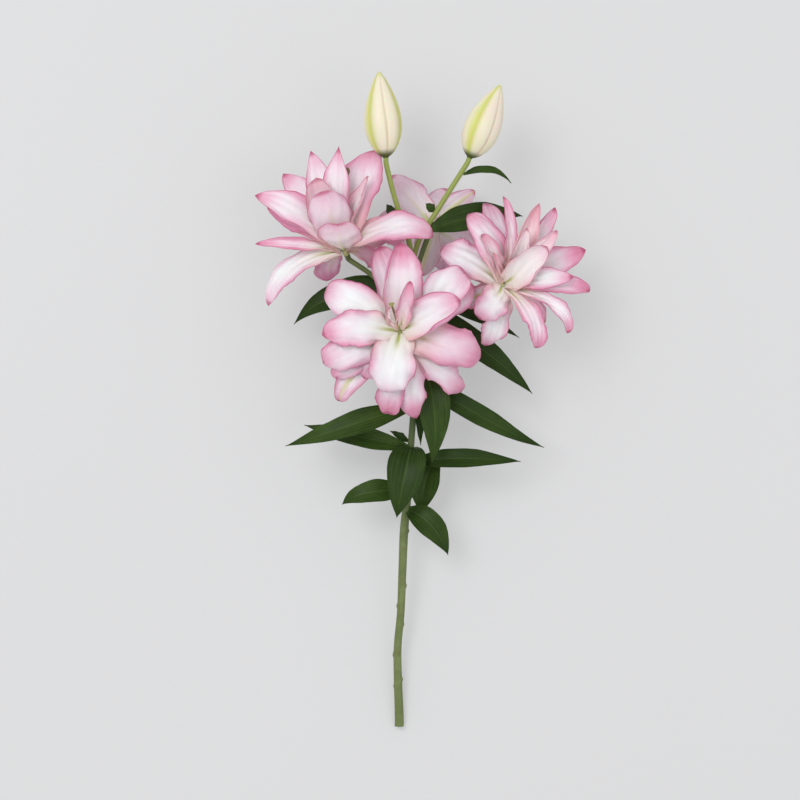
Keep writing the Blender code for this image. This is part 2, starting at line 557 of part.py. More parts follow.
def drop_loose(mesh):
    """Removes every vertex that isn't in the largest island."""
    kept = largest_island(mesh)
    if kept.all():
        return
    edit = bmesh.new()
    edit.from_mesh(mesh)
    edit.verts.ensure_lookup_table()
    loose = [edit.verts[int(k)] for k in np.flatnonzero(~kept)]
    bmesh.ops.delete(edit, geom=loose, context="VERTS")
    edit.to_mesh(mesh)
    edit.free()


# ---- The pieces ---------------------------------------------------------------------------------------------


def make_finishes():
    """One Principled material for each finish."""
    for name, (colour, roughness) in FINISHES.items():
        material = bpy.data.materials.new(name)
        material.use_nodes = True
        shader = material.node_tree.nodes["Principled BSDF"]
        shader.inputs["Base Color"].default_value = (*colour, 1.0)
        shader.inputs["Roughness"].default_value = roughness
        shader.inputs["Metallic"].default_value = 0.0


def make_stem():
    """The stem, its pedicels and the scars of its lower leaves, fused into one body."""
    path, radii = stem_path(STEM_STEPS)
    pieces = [solid_rings("stem", round_rings(path, radii, STEM_SIDES), "stem")]
    for name in PEDICELS:
        line, thick = pedicel_path(name, PEDICEL_STEPS)
        pieces.append(solid_rings("pedicel", round_rings(line, thick, PEDICEL_SIDES), "stem"))
    across, over = frames_along(path)
    for height, bearing in SCARS:
        nearest = np.abs(path[:, 1] - height).argmin()
        centre = np.array([np.interp(height, path[:, 1], path[:, k]) for k in range(3)])
        out = np.sin(np.radians(bearing)) * across[nearest] + np.cos(np.radians(bearing)) * over[nearest]
        centre = centre + out * (radii[nearest] - 0.4)
        pieces.append(solid_knob("scar", centre, out, SCAR_SIZE, 6, 3, "stem"))
    fuse("stem", pieces)


def make_leaves():
    """A solid for each leaf and bract."""
    for name, sheet in all_leaves(*LEAF_GRID).items():
        solid_blade(name, sheet, LEAF_THICKNESS, "leaf")


def make_bloom(name):
    """A bloom's tepals, fused at the knob that they grow from, with its ovary if its pistil shows."""
    bloom = BLOOMS[name]
    radius, half_length = RECEPTACLE
    knob = solid_knob("knob", bloom["heart"], bloom["facing"], (radius, radius, half_length), 10, 6, "petal")
    tepals = [
        solid_blade("tepal", tepal_blade(bloom, number, *PETAL_GRID), PETAL_THICKNESS, "petal")
        for number in range(len(bloom["tepals"]))
    ]
    for owner, direction, ovary, _, _ in PISTILS.values():
        if owner == name:
            path = np.array(bloom["heart"], float) + np.array([[0.0], [0.5], [1.0]]) * ovary * unit(direction)
            tepals.append(solid_rings("ovary", round_rings(path, 3 * [OVARY_RADIUS], PISTIL_SIDES), "petal"))
    fuse("bloom_" + name, [knob, *tepals])


def make_pistil(name):
    """A pistil: a thin style from the end of the ovary, with a three-lobed stigma on its end."""
    bloom, direction, ovary, length, radius = PISTILS[name]
    axis = unit(direction)
    start = np.array(BLOOMS[bloom]["heart"], float) + axis * (ovary + SEAT_GAP)
    steps = np.linspace(0, 1, 6)[:, None]
    path = start + steps * (length - ovary) * axis
    radii = radius * np.array([1.4, 1.2, 1.0, 1.0, 1.1, 1.5])
    pieces = [solid_rings("style", round_rings(path, radii, PISTIL_SIDES), "pistil")]
    across = unit(np.cross(axis, (1.0, 0.0, 0.0)))
    for turn in np.radians((0, 120, 240)):
        out = np.cos(turn) * across + np.sin(turn) * np.cross(axis, across)
        pieces.append(solid_knob("lobe", path[-1] + 1.6 * out, out, (1.6, 1.9, 2.0), 6, 4, "pistil"))
    fuse(name, pieces)


def make_bud(name):
    """A closed bud: rings about its axis with three seams pressed in between its outer segments."""
    base, tip, radius = BUDS[name]
    base, tip = np.array(base, float), np.array(tip, float)
    rows, sides = BUD_GRID
    axis = unit(tip - base)
    across = unit(np.cross(axis, (0.0, 0.0, 1.0)))
    over = np.cross(across, axis)
    s = (0.5 - 0.5 * np.cos(np.pi * np.linspace(0.0, 0.985, rows)))[:, None, None]
    angle = np.linspace(0, 2 * np.pi, sides, endpoint=False)[None, :, None]
    seam = 1 - BUD_GROOVE * (0.5 + 0.5 * np.cos(BUD_RIBS * angle + np.pi)) ** 4
    spokes = np.cos(angle) * over + np.sin(angle) * across
    solid_rings(name, base + s * (tip - base) + radius * bud_profile(s) * seam * spokes, "bud")


def main():
    """Clears the scene and builds every piece."""
    for piece in list(bpy.data.objects):
        bpy.data.objects.remove(piece)
    make_finishes()
    make_stem()
    make_leaves()
    for name in BLOOMS:
        make_bloom(name)
    for name in PISTILS:
        make_pistil(name)
    for name in BUDS:
        make_bud(name)


main()
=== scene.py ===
"""The looks of a cut double lily lying on its back: petals, leaves, stem, buds and pistils as fine surfaces.

Every surface is a function of two parameters, worked out as whole arrays. Lengths in the tables are
millimetres from the stem's cut end, and angles are degrees. The stem runs along +Y and +Z is up.
"""

import bpy
import numpy as np
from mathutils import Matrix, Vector


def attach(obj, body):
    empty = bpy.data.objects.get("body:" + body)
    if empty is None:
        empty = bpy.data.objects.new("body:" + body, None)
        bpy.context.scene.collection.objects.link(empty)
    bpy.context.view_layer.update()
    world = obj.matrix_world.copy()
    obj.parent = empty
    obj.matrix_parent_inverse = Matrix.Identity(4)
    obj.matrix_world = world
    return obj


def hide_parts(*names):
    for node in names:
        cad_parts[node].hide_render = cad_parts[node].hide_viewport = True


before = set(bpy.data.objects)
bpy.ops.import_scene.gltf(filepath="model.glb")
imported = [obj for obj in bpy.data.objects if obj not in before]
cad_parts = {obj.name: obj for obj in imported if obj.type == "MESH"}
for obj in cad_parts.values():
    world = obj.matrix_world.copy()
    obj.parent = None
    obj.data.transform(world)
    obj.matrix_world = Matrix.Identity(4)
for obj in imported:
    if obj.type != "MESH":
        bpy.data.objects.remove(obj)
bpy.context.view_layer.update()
BODY = "root"
MM = 0.001
RNG = np.random.default_rng(7)

# How finely each piece is divided: rows along it, and columns or sides across it.
PETAL_GRID = (57, 37)
LEAF_GRID = (81, 25)
STEM_GRID = (22, 48)  # here the rows are those between two points of its table
PEDICEL_GRID = (12, 28)
BUD_GRID = (140, 180)
KNOB_GRID = (15, 24)
STYLE_GRID = (60, 36)
STIGMA_ROWS = 24
SECTION_STEPS = 61  # points of the sums across half of a blade
SEAT_GRID = (49, 9)  # a leaf's, while the place of its base is sought
SEAT_STEPS = 24  # its stem's rows then
SEAT_ROUNDS = 8  # how often the base is moved to its gap

# How every blade is shaped, in shares of its length and half-width where no unit is given.
PETAL_CLAW = 0.42  # half-width of a tepal's claw
LEAST_HALF_WIDTH = 0.45  # in millimetres
HANDLE_REACH = 0.38  # how far the midrib's handles lie from its ends
CLAW_SWAY = 0.6  # how much of the sway the handle near the claw takes
HOOK_START = 0.8  # where the hook of the tip starts
ROLL_START = 0.4  # how far out from the midrib the roll of a margin starts
ROLL_FULL = 0.6  # how far along the blade it is full
ROLL_POWER = 1.5  # how slowly hooks and rolls start
TURN_POWER = 0.7  # how fast the rows turn about the midrib
SWELL = (0.8, 0.6)  # powers of the sine along the blade that a ruffle's height follows
MARGIN_SHIFT = 0.23  # how far the waves of each margin are shifted, in waves
SHORT_WAVES = (0.3, 0.2)  # a margin's short waves against its long ones: height, drawing in
SHORT_RATE = (2.7, 2.5, 9.0)  # how fast the short waves go by, and how far and fast that changes
DRAWN_IN = (0.3, 0.6)  # how far a ruffle draws the margin in, and how far ahead of its wave
TEPAL_WAVES = (2.2, 0.35, 0.37)  # waves of the first tepal, more for each of the next three, shift for each
LEAF_FACING = (0.0, 0.3, 1.0)


# ---- The plant's measures, in millimetres and degrees ----

BLADE_THICKNESS = 0.8
SEAT_GAP = -1.0  # how far pieces that touch sink into each other, as a gap below zero
RECEPTACLE = (8.0, 8.0)  # radius and half-length of the knob that a bloom's tepals grow from
TEPAL_SPREAD = 2.5  # how far out on the knob a tepal that points sideways starts
TEPAL_CLIMB = (-1.5, 5.0)  # how far above the heart the first and last tepals start
FOOT = (28.0, 394.5)  # the point of the table, from the cut end, that becomes the origin
FLAT = 0.4  # how high above the table a blade lies flat on it, in thicknesses
TABLE_GAP = 0.02  # how far the blades' skins stay above the table

# The main stem from its cut end to where it forks: x, y, z of its middle line, and its radius.
STEM = (
    (-1.0, 0.0, 5.2, 5.6),
    (-1.0, 14.0, 7.5, 5.4),
    (-3.0, 90.0, 21.0, 4.8),
    (1.0, 140.0, 30.0, 4.7),
    (3.0, 190.0, 38.5, 4.9),
    (5.0, 240.0, 47.0, 5.2),
    (9.0, 280.0, 54.0, 4.6),
    (13.0, 340.0, 65.0, 4.0),
    (17.0, 400.0, 76.0, 3.9),
    (18.0, 460.0, 86.0, 4.0),
    (17.0, 520.0, 92.0, 4.2),
    (15.0, 566.0, 95.0, 4.4),
)

# The pedicels, each from inside the stem towards the bloom or bud that it carries. Its last two points are
# worked out, so that it meets the bloom or bud end on.
PEDICELS = {
    "front": ((18, 436, 83), (15, 450, 100), (8, 466, 120)),
    "left": ((17, 492, 89), (-2, 520, 98), (-34, 549, 102)),
    "right": ((17, 482, 88), (48, 503, 96), (90, 522, 101)),
    "back": ((16, 526, 91), (19, 552, 93), (29, 582, 95)),
    "bud_left": ((15, 560, 95), (10, 594, 100), (-1, 623, 106), (-9, 650, 111)),
    "bud_right": ((15, 560, 95), (22, 590, 99), (40, 618, 104), (60, 650, 109)),
}
PEDICEL_END = 10.0  # length of each pedicel's straight end
PEDICEL_RADIUS = 3.2

# Blooms: where the tepals meet, the way the bloom faces, how blunt the tips are, and one row for each tepal:
# the tip from the heart, half-width, lift off the chord at the claw, droop at the tip, sideways sway,
# roll about the midrib, cupping at the claw, cupping at the tip (below zero it turns back), ruffle, and then,
# where they aren't zero, the rolls of the left and right margins, the hook of the tip and its own bluntness.
# Tepals that are turned another way than their bloom faces are given by their row.
BLOOMS = {
    "front": dict(heart=(0, 480, 150), facing=(0.0, 0.05, 1.0), blunt=0.7, tepals=(
        (-25, 102, -6, 24, 30, 10, 4, 0, 0.4, 0.3, 3.5, 0.9, 0.0, 15, 0.6),
        (-74, -88, -40, 17, 28, 40, 14, 0, 0.6, 0.5, 2.0, 0.0, 0.9, 30, 0.9),
        (76, -74, -36, 21, 36, 45, 0, 0, 0.3, -0.4, 8.0, -0.6, -0.8, 20, 0.6),
        (20, -105, -25.5, 26, 38, 40, 5, 0, -0.2, -0.8, 4.5, -0.4, -0.9, 10, 0.65),
        (91, 54, -12, 22, 35, 40, 0, 0, 0.4, -0.2, 3.5, 0.4, -0.6, 15, 0.6),
        (-93, 47, -4, 27, 38, 50, 5, 0, 0.4, -0.1, 3.0, -1.6, 0.4, 25, 0.6),
        (-43, -56, 0, 20, 44, 50, 0, 0, 0.2, 0.0, 3.0, -0.8, 0.0, 0),
        (-85, -55, -20, 22, 32, 60, 0, 0, 0.3, -0.9, 3.0, -0.8, -0.8, 35),
        (-93, -38, -4, 25, 38, 62, 0, 0, 0.3, -0.4, 5.0, -1.0, 0.3, 10, 0.55),
        (-14, -98, -26, 21, 42, 50, 0, 0, 0.4, 0.5, 4.5, 0.9, 0.4, 0, 0.6),
        (80, 72, 8, 27, 30, 38, 0, 0, 0.35, -0.1, 4.5, 0.6, 0.9, 25, 0.5),
        (-93, -5, 18, 24, 38, 44, 9, 0, 0.15, -0.3, 4.5, 0.3, -0.6, 10, 0.66),
        (2, 106, 20, 29, 30, 10, 0, 0, 0.7, 0.5, 4.0, 1.7, -0.5, 30, 0.75),
        (97, -32, -4, 30, 38, 66, 0, 0, 0.3, -0.5, 5.5, -0.5, -1.5, 10, 0.5),
        (-17, -76, 16, 30, 48, 65, 0, 0, 0.35, -0.4, 6.0, -0.5, -0.7, 40, 0.62),
        (71, 36, 32, 27, 44, 25, 0, 0, 0.6, 0.5, 1.5, 0.3, 2.5, 0, 0.55),
        (-13, 28, 26, 8, 20, 5, 0, 0, 1.0, 0.6, 0.5),
        (12, 57, 51, 13, 22, 5, 0, 0, 1.2, 0.9, 1.5, 1.2, 0.6, 25, 0.5),
    )),
    "left": dict(heart=(-66, 577, 112), facing=(-0.35, 0.68, 0.64), blunt=0.75,
                 turned={14: (-0.15, 0.5, -0.7), 15: (0.1, 0.8, -0.6)}, tepals=(
        (36, -17, -28, 17, 30, 30, 0, 50, 0.4, 0.2, 2.0),
        (-22, -35, -40, 21, 30, 20, 0, 75, 0.4, 0.2, 2.5, 0.4, 0.4, 0, 0.5),
        (-76, 97, -48, 22, 18, 15, 0, 0, 0.3, 0.4, 2.0, 0.5, -0.6, 15, 0.9),
        (73, 14, -18, 20, 22, 40, 0, 0, 0.4, 0.2, 3.0, 0.5, -0.8, 20),
        (-94, 55, -14, 21, 30, 20, 0, 0, 0.3, 0.2, 2.5, -0.7, 0.0, 10),
        (-42, 122, -30, 20, 20, 5, 0, 0, 0.6, 0.4, 2.0, 0.6, 0.3, 10, 0.95),
        (-94, -66, 2, 21, 30, 44, 14, 0, 0.3, -0.2, 1.5, -0.5, -0.7, 15, 0.75),
        (-107, 8, 4, 9, 10, 20, -7, -35, 0.6, 0.9, 1.0, 0.4, 0.5, 0, 0.7),
        (34, 127, -9, 31, 25, 22, 8, 0, 0.4, -0.2, 3.0, 0.5, -0.7, 35, 0.6),
        (-107, 67, 14, 25, 28, 22, 0, 0, 0.5, 0.2, 1.5, 0.6, 0.3, 10, 0.8),
        (108, 17, 34, 23, 45, 62, 0, 0, 0.3, -0.2, 2.0, 0.4, -1.0, 20, 0.6),
        (-8, 123, 26, 21, 22, 5, 0, 0, 0.6, 0.5, 1.5, 0.7, -0.3, 10, 1.05),
        (-34, 86, 26, 27, 15, -10, 0, 0, 0.9, 0.9, 1.5, -0.4, 1.2, 0, 0.45),
        (27, 88, 34, 14, 20, -10, 0, 0, 1.1, 1.0, 1.5, 0.9, 0.6, 10),
        (-28, 68, 52, 32, -25, -30, 0, 0, 0.8, 0.9, 1.5, 0.3, 0.3, 0, 0.42),
        (-8, 31, 58, 30, -35, -30, 0, 0, 0.8, 0.8, 1.0, 0.5, -0.5, 20, 0.45),
    )),
    "right": dict(heart=(122, 536, 118), facing=(0.45, 0.22, 0.86), blunt=0.7, tepals=(
        (-20, -74, -16, 18, 35, 40, 0, 0, 0.4, 0.0, 3.5, -0.5, -0.5, 15, 0.6),
        (53, -44, -30, 14, 30, 30, 0, 0, 0.5, 0.2, 2.0),
        (102, 43, -20, 21, 25, 10, 0, 0, 1.0, 0.9, 2.0, 0.3, 0.3, 15, 0.8),
        (-49, -23, -8, 14, 30, 40, 0, 0, 0.4, 0.2, 2.0),
        (-48, 20, -27, 19, 24, 40, 0, 0, 0.4, 0.2, 3.0, -0.5, 0.5, 10, 0.6),
        (-18, 101, -18, 19, 25, 20, 0, 0, 0.5, 0.2, 1.5, 0.5, -0.6, 20, 0.5),
        (66, 93, -6, 18, 25, -10, 0, 20, 0.6, 0.7, 2.5, 0.8, 0.6, 35, 0.7),
        (-75, 44, 0, 23, 30, 42, 0, 0, 0.4, -0.4, 3.0, -0.7, 0.6, 20, 0.55),
        (-40, 89, 12, 20, 34, 32, 0, 0, 0.3, -0.4, 1.5, -0.9, 0.4, 40, 0.5),
        (41, -78, 4, 14, 38, 62, -8, 0, 0.4, 0.2, 3.0, 0.8, -0.8, 25, 0.6),
        (80, -60, 4, 11, 30, 62, -16, 0, 0.8, 0.4, 2.0, 0.4, 0.4, 25, 0.6),
        (-28, -42, 18, 22, 40, 50, 0, 0, 0.3, -0.3, 3.0, -0.7, 0.5, 20, 0.55),
        (108, -8, 0, 15, 20, 32, -8, 20, 0.8, 0.4, 2.5, 0.5, -0.7, 30, 0.75),
        (84, 9, 22, 14, 24, 12, 0, 0, 0.8, 0.4, 2.0, 0.6, 0.0, 15, 0.65),
        (43, 98, 18, 16, 15, 5, 0, 0, 1.0, 0.9, 1.5, 0.5, 0.3, -25, 0.8),
        (66, 64, 20, 14, 20, 5, 0, 0, 0.9, 0.7, 2.0, 0.5, 0.4, 20),
        (3, 106, 20, 10, 12, 10, 8, 0, 0.9, 0.6, 1.0, 0.4, 0.4, 30, 0.7),
        (-24, 60, 26, 12, 20, 10, 0, 0, 0.9, 0.6, 1.0, 0.8, 0.4, 25, 0.45),
        (52, 43, 44, 22, 40, -20, 0, 0, 0.8, 0.8, 1.0, 0.4, 1.6, 15, 0.4),
        (29, 66, 38, 13, 20, 0, 0, 0, 1.0, 1.0, 1.0, 0.5, 0.3, 10, 0.6),
        (-12, 38, 34, 6, 15, 5, 0, 0, 1.2, 0.8, 0.5),
    )),
    "back": dict(heart=(38, 607, 76), facing=(0.08, 0.25, -0.97), blunt=0.6, tepals=(
        (-13, -58, -36, 19, 25, 25, 0, 0, 0.4, 0.2, 2.5, 0.5, -0.6, 10),
        (53, 46, -44, 16, 25, 25, 0, 0, 0.4, 0.2, 2.5, 0.5, -0.5, 10),
        (-50, 64, -56, 22, 25, 20, 0, 0, 0.3, 0.1, 2.5, 0.5, 0.5, 10),
        (57, -37, -56, 21, 25, 25, 0, 0, 0.4, 0.2, 2.5, -0.4, 0.6, 10),
        (20, 50, -96, 22, 30, 5, 0, 0, 0.3, 0.1, 1.5),
        (-46, -46, -70, 20, 35, 15, 0, 0, 0.3, 0.1, 2.0),
        (82, 4, -92, 20, 35, 10, 0, 0, 0.2, 0.0, 1.5),
        (-66, 10, -92, 21, 35, 10, 0, 0, 0.2, 0.0, 1.5),
        (18, -52, -92, 18, 35, 10, 0, 0, 0.2, 0.0, 1.5),
    )),
}

# Leaves: height up the stem, bearing round it (0 up, 90 to +X), tip, half-width, lift off the chord,
# droop at the tip, sideways sway, roll about the midrib.
LEAVES = {
    "leaf_low_right": (266, 40, (58, 211, 58), 17, 45, 25, -10, 0),
    "leaf_low_back": (270, 90, (50, 338, 44), 18, 30, 20, -8, 0),
    "leaf_low_left": (288, -60, (-70, 272, 56), 15, 35, 55, 6, 0),
    "leaf_mid_front": (342, 10, (-4, 257, 88), 24, 70, 30, 0, 0),
    "leaf_mid_right": (324, 80, (146, 324, 58), 13, 25, 20, 0, 0),
    "leaf_mid_left": (340, -95, (-116, 368, 46), 14, 25, 20, -6, 0),
    "leaf_mid_bract": (348, -95, (-12, 361, 66), 5, 25, 20, 0, 0),
    "leaf_up_left": (390, -60, (-138, 343, 76), 16, 25, 20, -7, 0),
    "leaf_up_front": (444, 85, (38, 323, 100), 22, 50, 20, -14, 0),
    "leaf_up_right": (420, 80, (174, 341, 66), 14, 30, 20, 12, 0),
    "leaf_up_back": (404, 110, (25, 344, 60), 6, 30, 20, 0, 0),
    "leaf_high_left": (532, -140, (-128, 490, 68), 20, 6, 30, 22, 0),
    "leaf_high_right": (515, 150, (160, 406, 58), 17, 8, 30, 0, 0),
    "leaf_high_low": (532, 120, (144, 474, 58), 11, 5, 20, 0, 0),
}

# Leaves and bracts on the pedicels: the pedicel, how far along it from 0 to 1, then as for a leaf.
BRACTS = {
    "leaf_top_right": ("bud_right", 0.27, 100, (148, 620, 78), 18, 12, 20, -8, 0),
    "bract_left": ("bud_left", 0.27, -80, (-16, 634, 86), 7, 25, 20, 0, 0),
    "bract_right": ("bud_right", 0.36, -70, (31, 634, 106), 6, 25, 20, 0, 0),
    "bract_bud": ("bud_right", 0.60, 60, (133, 658, 110), 5, 35, 30, -15, 20),
}

# Buds: base, tip, greatest radius.
BUDS = {
    "bud_left": ((-17, 688, 116), (-25, 791, 122), 23.0),
    "bud_right": ((83, 688, 114), (120, 775, 122), 23.0),
}

# Pistils: the bloom, direction from the heart to the stigma, length of the ovary, whole length, and the
# style's radius.
PISTILS = {
    "pistil_front": ("front", (-11, 34, 52), 25.0, 58.0, 1.3),
    "pistil_left": ("left", (3, 97, 10), 56.0, 97.0, 1.3),
}
OVARY_RADIUS = 2.2
OVARY_GROOVES = (0.10, 6)  # their depth in shares of the radius, and their number
PISTIL_ENDS = (1.6, 2.0)  # a pistil's radius where it starts, and at the stigma
PISTIL_BLENDS = (3.0, -4.0, 2.0, -6.0)  # where the radius changes: past the start, ovary's end twice, end

# Stigmas: half-length, radius, shade. Then their form: how far they sit down on the style, height of the
# lobes, depth and narrowness of the creases, and how much the shade changes along them.
STIGMA = {"pistil_front": (1.6, 3.0, 0.95), "pistil_left": (4.8, 2.8, 0.6)}
STIGMA_FORM = (0.4, 0.22, 0.35, 6, 0.05)

# How far round a bud its first green rib lies. Then how ribs and seams are pressed in, each as depths, in
# shares of the radius, and how narrow they are.
BUD_TURN = {"bud_left": -46.0, "bud_right": -22.0}
BUD_RIBS = ((0.06, 4), (0.03, 24))
BUD_SEAMS = ((0.05, 3), (0.04, 60))
BUD_MARKS = (5, 90, 0.4)  # how narrow their colours are, and how much the seams' fades to the tip
BUD_TWIST = 0.5  # how far they turn along the bud
BUD_END = 0.985  # where the last ring lies

# Leaf scars on the bare part of the stem: height up it, and bearing round it.
SCARS = (
    (22, 15), (50, -60), (57, 75), (88, -90), (93, 10), (126, 60), (139, -15), (148, -75),
    (173, 85), (183, 5), (220, -10), (240, 80),
)
SCAR_SIZE = (2.6, 2.2, 1.5)  # a scar's swelling: across, along, height
STEM_TOP = 566.0  # the height of its fork
STEM_RIDGES = (0.12, 9, 0.01)  # height, number, and their turn for each millimetre
PEDICEL_RIDGES = (0.1, 6)
PEDICEL_EASING = 30  # how many times a pedicel's line is averaged, to ease its bends
PEDICEL_FLARE = (0.12, -0.06)  # how much wider a pedicel ends, under a bloom and under a bud

# How pink each tepal is, from 0, nearly white, to about 1, deep pink, in the order of its bloom's rows. Some
# tepals that lie in shade are set deeper, as painted shade.
TINTS_AND_SHADE = {
    "front": (0.60, 0.65, 0.85, 0.80, 0.70, 0.50, 0.80, 1.00, 0.70, 0.88, 0.40, 0.60, 0.70, 1.10, 0.45, 0.60,
              0.20, 0.95),
    "left": (1.10, 0.95, 0.60, 0.95, 0.95, 0.50, 0.40, 0.75, 0.80, 0.65, 0.70, 0.50, 0.40, 0.45, 0.25, 0.40),
    "right": (0.70, 0.80, 0.82, 0.80, 0.85, 0.70, 0.62, 0.60, 0.65, 0.85, 0.65, 0.75, 0.85, 0.60, 0.85, 0.55,
              0.80, 0.65, 0.35, 0.35, 1.00),
    "back": (0.20, 0.25, 0.25, 0.30, 0.25, 0.30, 0.25, 0.30, 0.25),
}

# How salmon the innermost tepals' bases are, and which outer tepals have a green rib, by their rows.
SALMON = {
    "front": {16: 0.5, 17: 0.15},
    "left": {12: 0.6, 13: 0.5, 14: 0.15, 15: 0.35},
    "right": {14: 0.9, 15: 0.6, 17: 0.4, 18: 0.35, 19: 0.45, 20: 0.8},
    "back": {},
}
GREEN_RIBBED = {"front": (1,), "left": (), "right": (1, 3), "back": (0, 1)}

# Relief of the skins, in millimetres where no share is meant.
GROOVE_WIDTH = 2.8
GROOVE_DEPTH = 1.4
GROOVE_RIDGE = (0.45, 1.9)  # the ridges beside a petal's groove: height and place against the groove's
GROOVE_FADE = 0.75  # how much of it is gone at the tip
PUCKER = 1.8
PUCKER_WAVES = (1.7, 0.8, 0.31)  # waves along and across a petal, and their shift from petal to petal
PUCKER_BEND = (1.6, 5.1)  # how far and how fast they bend
PUCKER_CROSS = (1.3, 0.9)  # the waves that cross them: across, along
PUCKER_MIDDLE = 0.35  # their height at the midrib, against the margins'
PETAL_SKIN = (0.25, 0.35, 0.5)  # thickness at the margin, more towards the middle, and more at the keel
LEAF_SKIN = (0.3, 0.4, 0.5)
KEEL_FADE = 0.6  # how much of the keel, and of a leaf's groove, is gone at the tip
ROUNDING = 0.999  # how round the margins are in section
TIP_THINNING = (0.35, 12.0)  # a petal's thickness at its tip, and how fast it grows from there
KNOB_SHARE = 0.55  # radius of the knob's skin, against the knob's
KNOB_SPAN = (0.7, -0.3)  # half-length and middle of the knob's skin, against its half-length
BLUNT_END = 1.02  # keeps the ends of a rounded tube from closing to a point
LEAF_VEINS = 4  # on each side of the midrib
LEAF_FURROW = 0.05  # how deep they are
LEAF_GROOVE = (0.7, 1.2, 1.5)  # depth and width of the groove along the midrib, width of the keel
LEAF_SPAN = 16.0  # the half-width for which those widths are meant
LEAF_TINTS = (0.2, 0.8)  # the range of the leaves' tints

# Colours, in linear light.
PETAL_FACE = (
    (0.0, (0.88, 0.85, 0.86)), (0.22, (0.87, 0.78, 0.82)), (0.46, (0.84, 0.63, 0.72)),
    (0.70, (0.77, 0.43, 0.55)), (0.86, (0.71, 0.32, 0.44)), (1.0, (0.63, 0.23, 0.35)),
)
PETAL_BACK = (
    (0.0, (0.82, 0.68, 0.75)), (0.45, (0.76, 0.52, 0.63)), (0.76, (0.62, 0.32, 0.45)),
    (1.0, (0.54, 0.21, 0.34)),
)
LEAF_FACE = ((0.25, (0.011, 0.026, 0.004)), (0.5, (0.021, 0.046, 0.006)), (0.75, (0.050, 0.092, 0.014)))
LEAF_VEIN = (0.085, 0.15, 0.035)
STEM_GREEN = ((0.3, (0.105, 0.140, 0.042)), (0.5, (0.140, 0.178, 0.060)), (0.7, (0.205, 0.245, 0.105)))
BUD_CREAM = ((0.3, (0.72, 0.71, 0.47)), (0.5, (0.76, 0.71, 0.55)), (0.7, (0.79, 0.66, 0.60)))
BUD_RIB = (0.52, 0.56, 0.06)
PISTIL_GREEN = (
    (0.0, (0.45, 0.45, 0.14)), (0.6, (0.16, 0.12, 0.05)), (0.8, (0.17, 0.17, 0.05)),
    (1.0, (0.32, 0.32, 0.08)),
)
FLOOR_COLOUR = (0.36, 0.363, 0.37)
FLOOR_GLOW = 0.30  # the light that the floor gives off itself, as a light table does
WHITE = (1.0, 1.0, 1.0, 1.0)

# Marks on the skins: the colour that lies over the ones below, and how strongly. That is a share of the
# number that the mark follows, or a fade: two places, as shares along the piece or out from its midrib, and
# its strengths up to the first and from the second on. Below them are more fades.
MARKS = {
    "petal line": ((0.40, 0.06, 0.15), (0.94, 1.0, 0.0, 0.88)),
    "petal cream": ((0.88, 0.78, 0.58), (0.05, 0.55, 0.46, 0.0)),
    "petal warm": ((0.90, 0.57, 0.53), 1.0),
    "petal throat": ((0.33, 0.40, 0.05), 0.85),
    "petal rib": ((0.58, 0.64, 0.26), 1.0),
    "leaf vein": (LEAF_VEIN, 0.15),
    "leaf midrib": (LEAF_VEIN, (0.02, 0.08, 0.28, 0.0)),
    "leaf back": ((0.09, 0.18, 0.07), 0.6),
    "leaf base": (LEAF_VEIN, (0.0, 0.10, 0.55, 0.0)),
    "stem top": ((0.05, 0.08, 0.025), (0.3, 0.75, 0.0, 0.7)),
    "young stem": ((0.30, 0.36, 0.08), 0.75),
    "scar": ((0.17, 0.16, 0.06), 0.8),
    "bud rib": (BUD_RIB, 0.8),
    "bud seam": ((0.48, 0.34, 0.20), 0.55),
    "bud base": ((0.06, 0.085, 0.01), (0.025, 0.12, 1.0, 0.0)),
    "bud tip": (BUD_RIB, (0.90, 1.0, 0.0, 0.5)),
    "pistil specks": ((0.06, 0.06, 0.02), 0.4),
}
TIP_FADE = (0.55, 1.0, 0.0, 0.72)
WARM_FADE = (0.15, 0.95, 0.85, 0.35)
VEIN_FADE = (0.75, 1.0, 0.0, 1.0)
THROAT_FADES = ((0.10, 0.36, 1.0, 0.0), (0.03, 0.24, 1.0, 0.0))  # along a petal, and across it
RIB_FADES = ((0.3, 0.9, 0.5, 0.0), (0.0, 0.12, 1.0, 0.0))
STRIPE_FADES = ((0.5, 1.0, 0.8, 0.5), (0.05, 0.30, 1.0, 0.0))

# How pink a petal is: the power by which pink grows towards its margins, its greatest share and its least.
# Then how far the veins, the clouds, the flush and the tepal's tint change that. On tepals in shade that tint
# is partly painted shade.
PETAL_PINK = (2.1, 0.9, 0.11)
PETAL_SWAY = (0.20, 0.36, 0.65, 0.75)
RIM_WAVER = 0.03  # how far the clouds move the dark line at the margin
RIB_UNDER = (0.9, 0.1)  # how much stronger a petal's rib is below, and its strength above
GRAIN = 0.25  # height of a petal's grain against its veins
STREAK_SHARE = 0.6  # the share of the first of two noises in a shade
LEAF_SWAY = 0.35  # how far a leaf's tint changes its shade
LEAF_GLOSS = (0.2, 0.3)  # how much the streaks roughen a leaf, and how rough it is without them

# Noise on the skins: waves to a metre, finer layers of it, and how rough those are where that is given.
NOISES = {
    "petal clouds": (42.0, 2.0), "petal flush": (17.0, 1.0), "petal grain": (900.0, 2.0),
    "leaf clouds": (35.0, 3.0), "stem streaks": (900.0, 4.0, 0.6), "stem clouds": (60.0, 3.0),
    "bud clouds": (28.0, 2.0), "pistil specks": (1400.0, 3.0), "floor clouds": (3.0, 2.0),
    "veins": (1.0, 4.0, 0.6),
}
STEM_STRETCH = (1.0, 0.06, 1.0)  # how the stem's streaks are drawn out along it

# How fast the veins of a skin change with three numbers of its own.
VEIN_RATES = {"petal": (16.0, 1.6, 31.0), "leaf": (22.0, 2.2, 17.0), "bud": (6.0, 6.0, 2.0)}

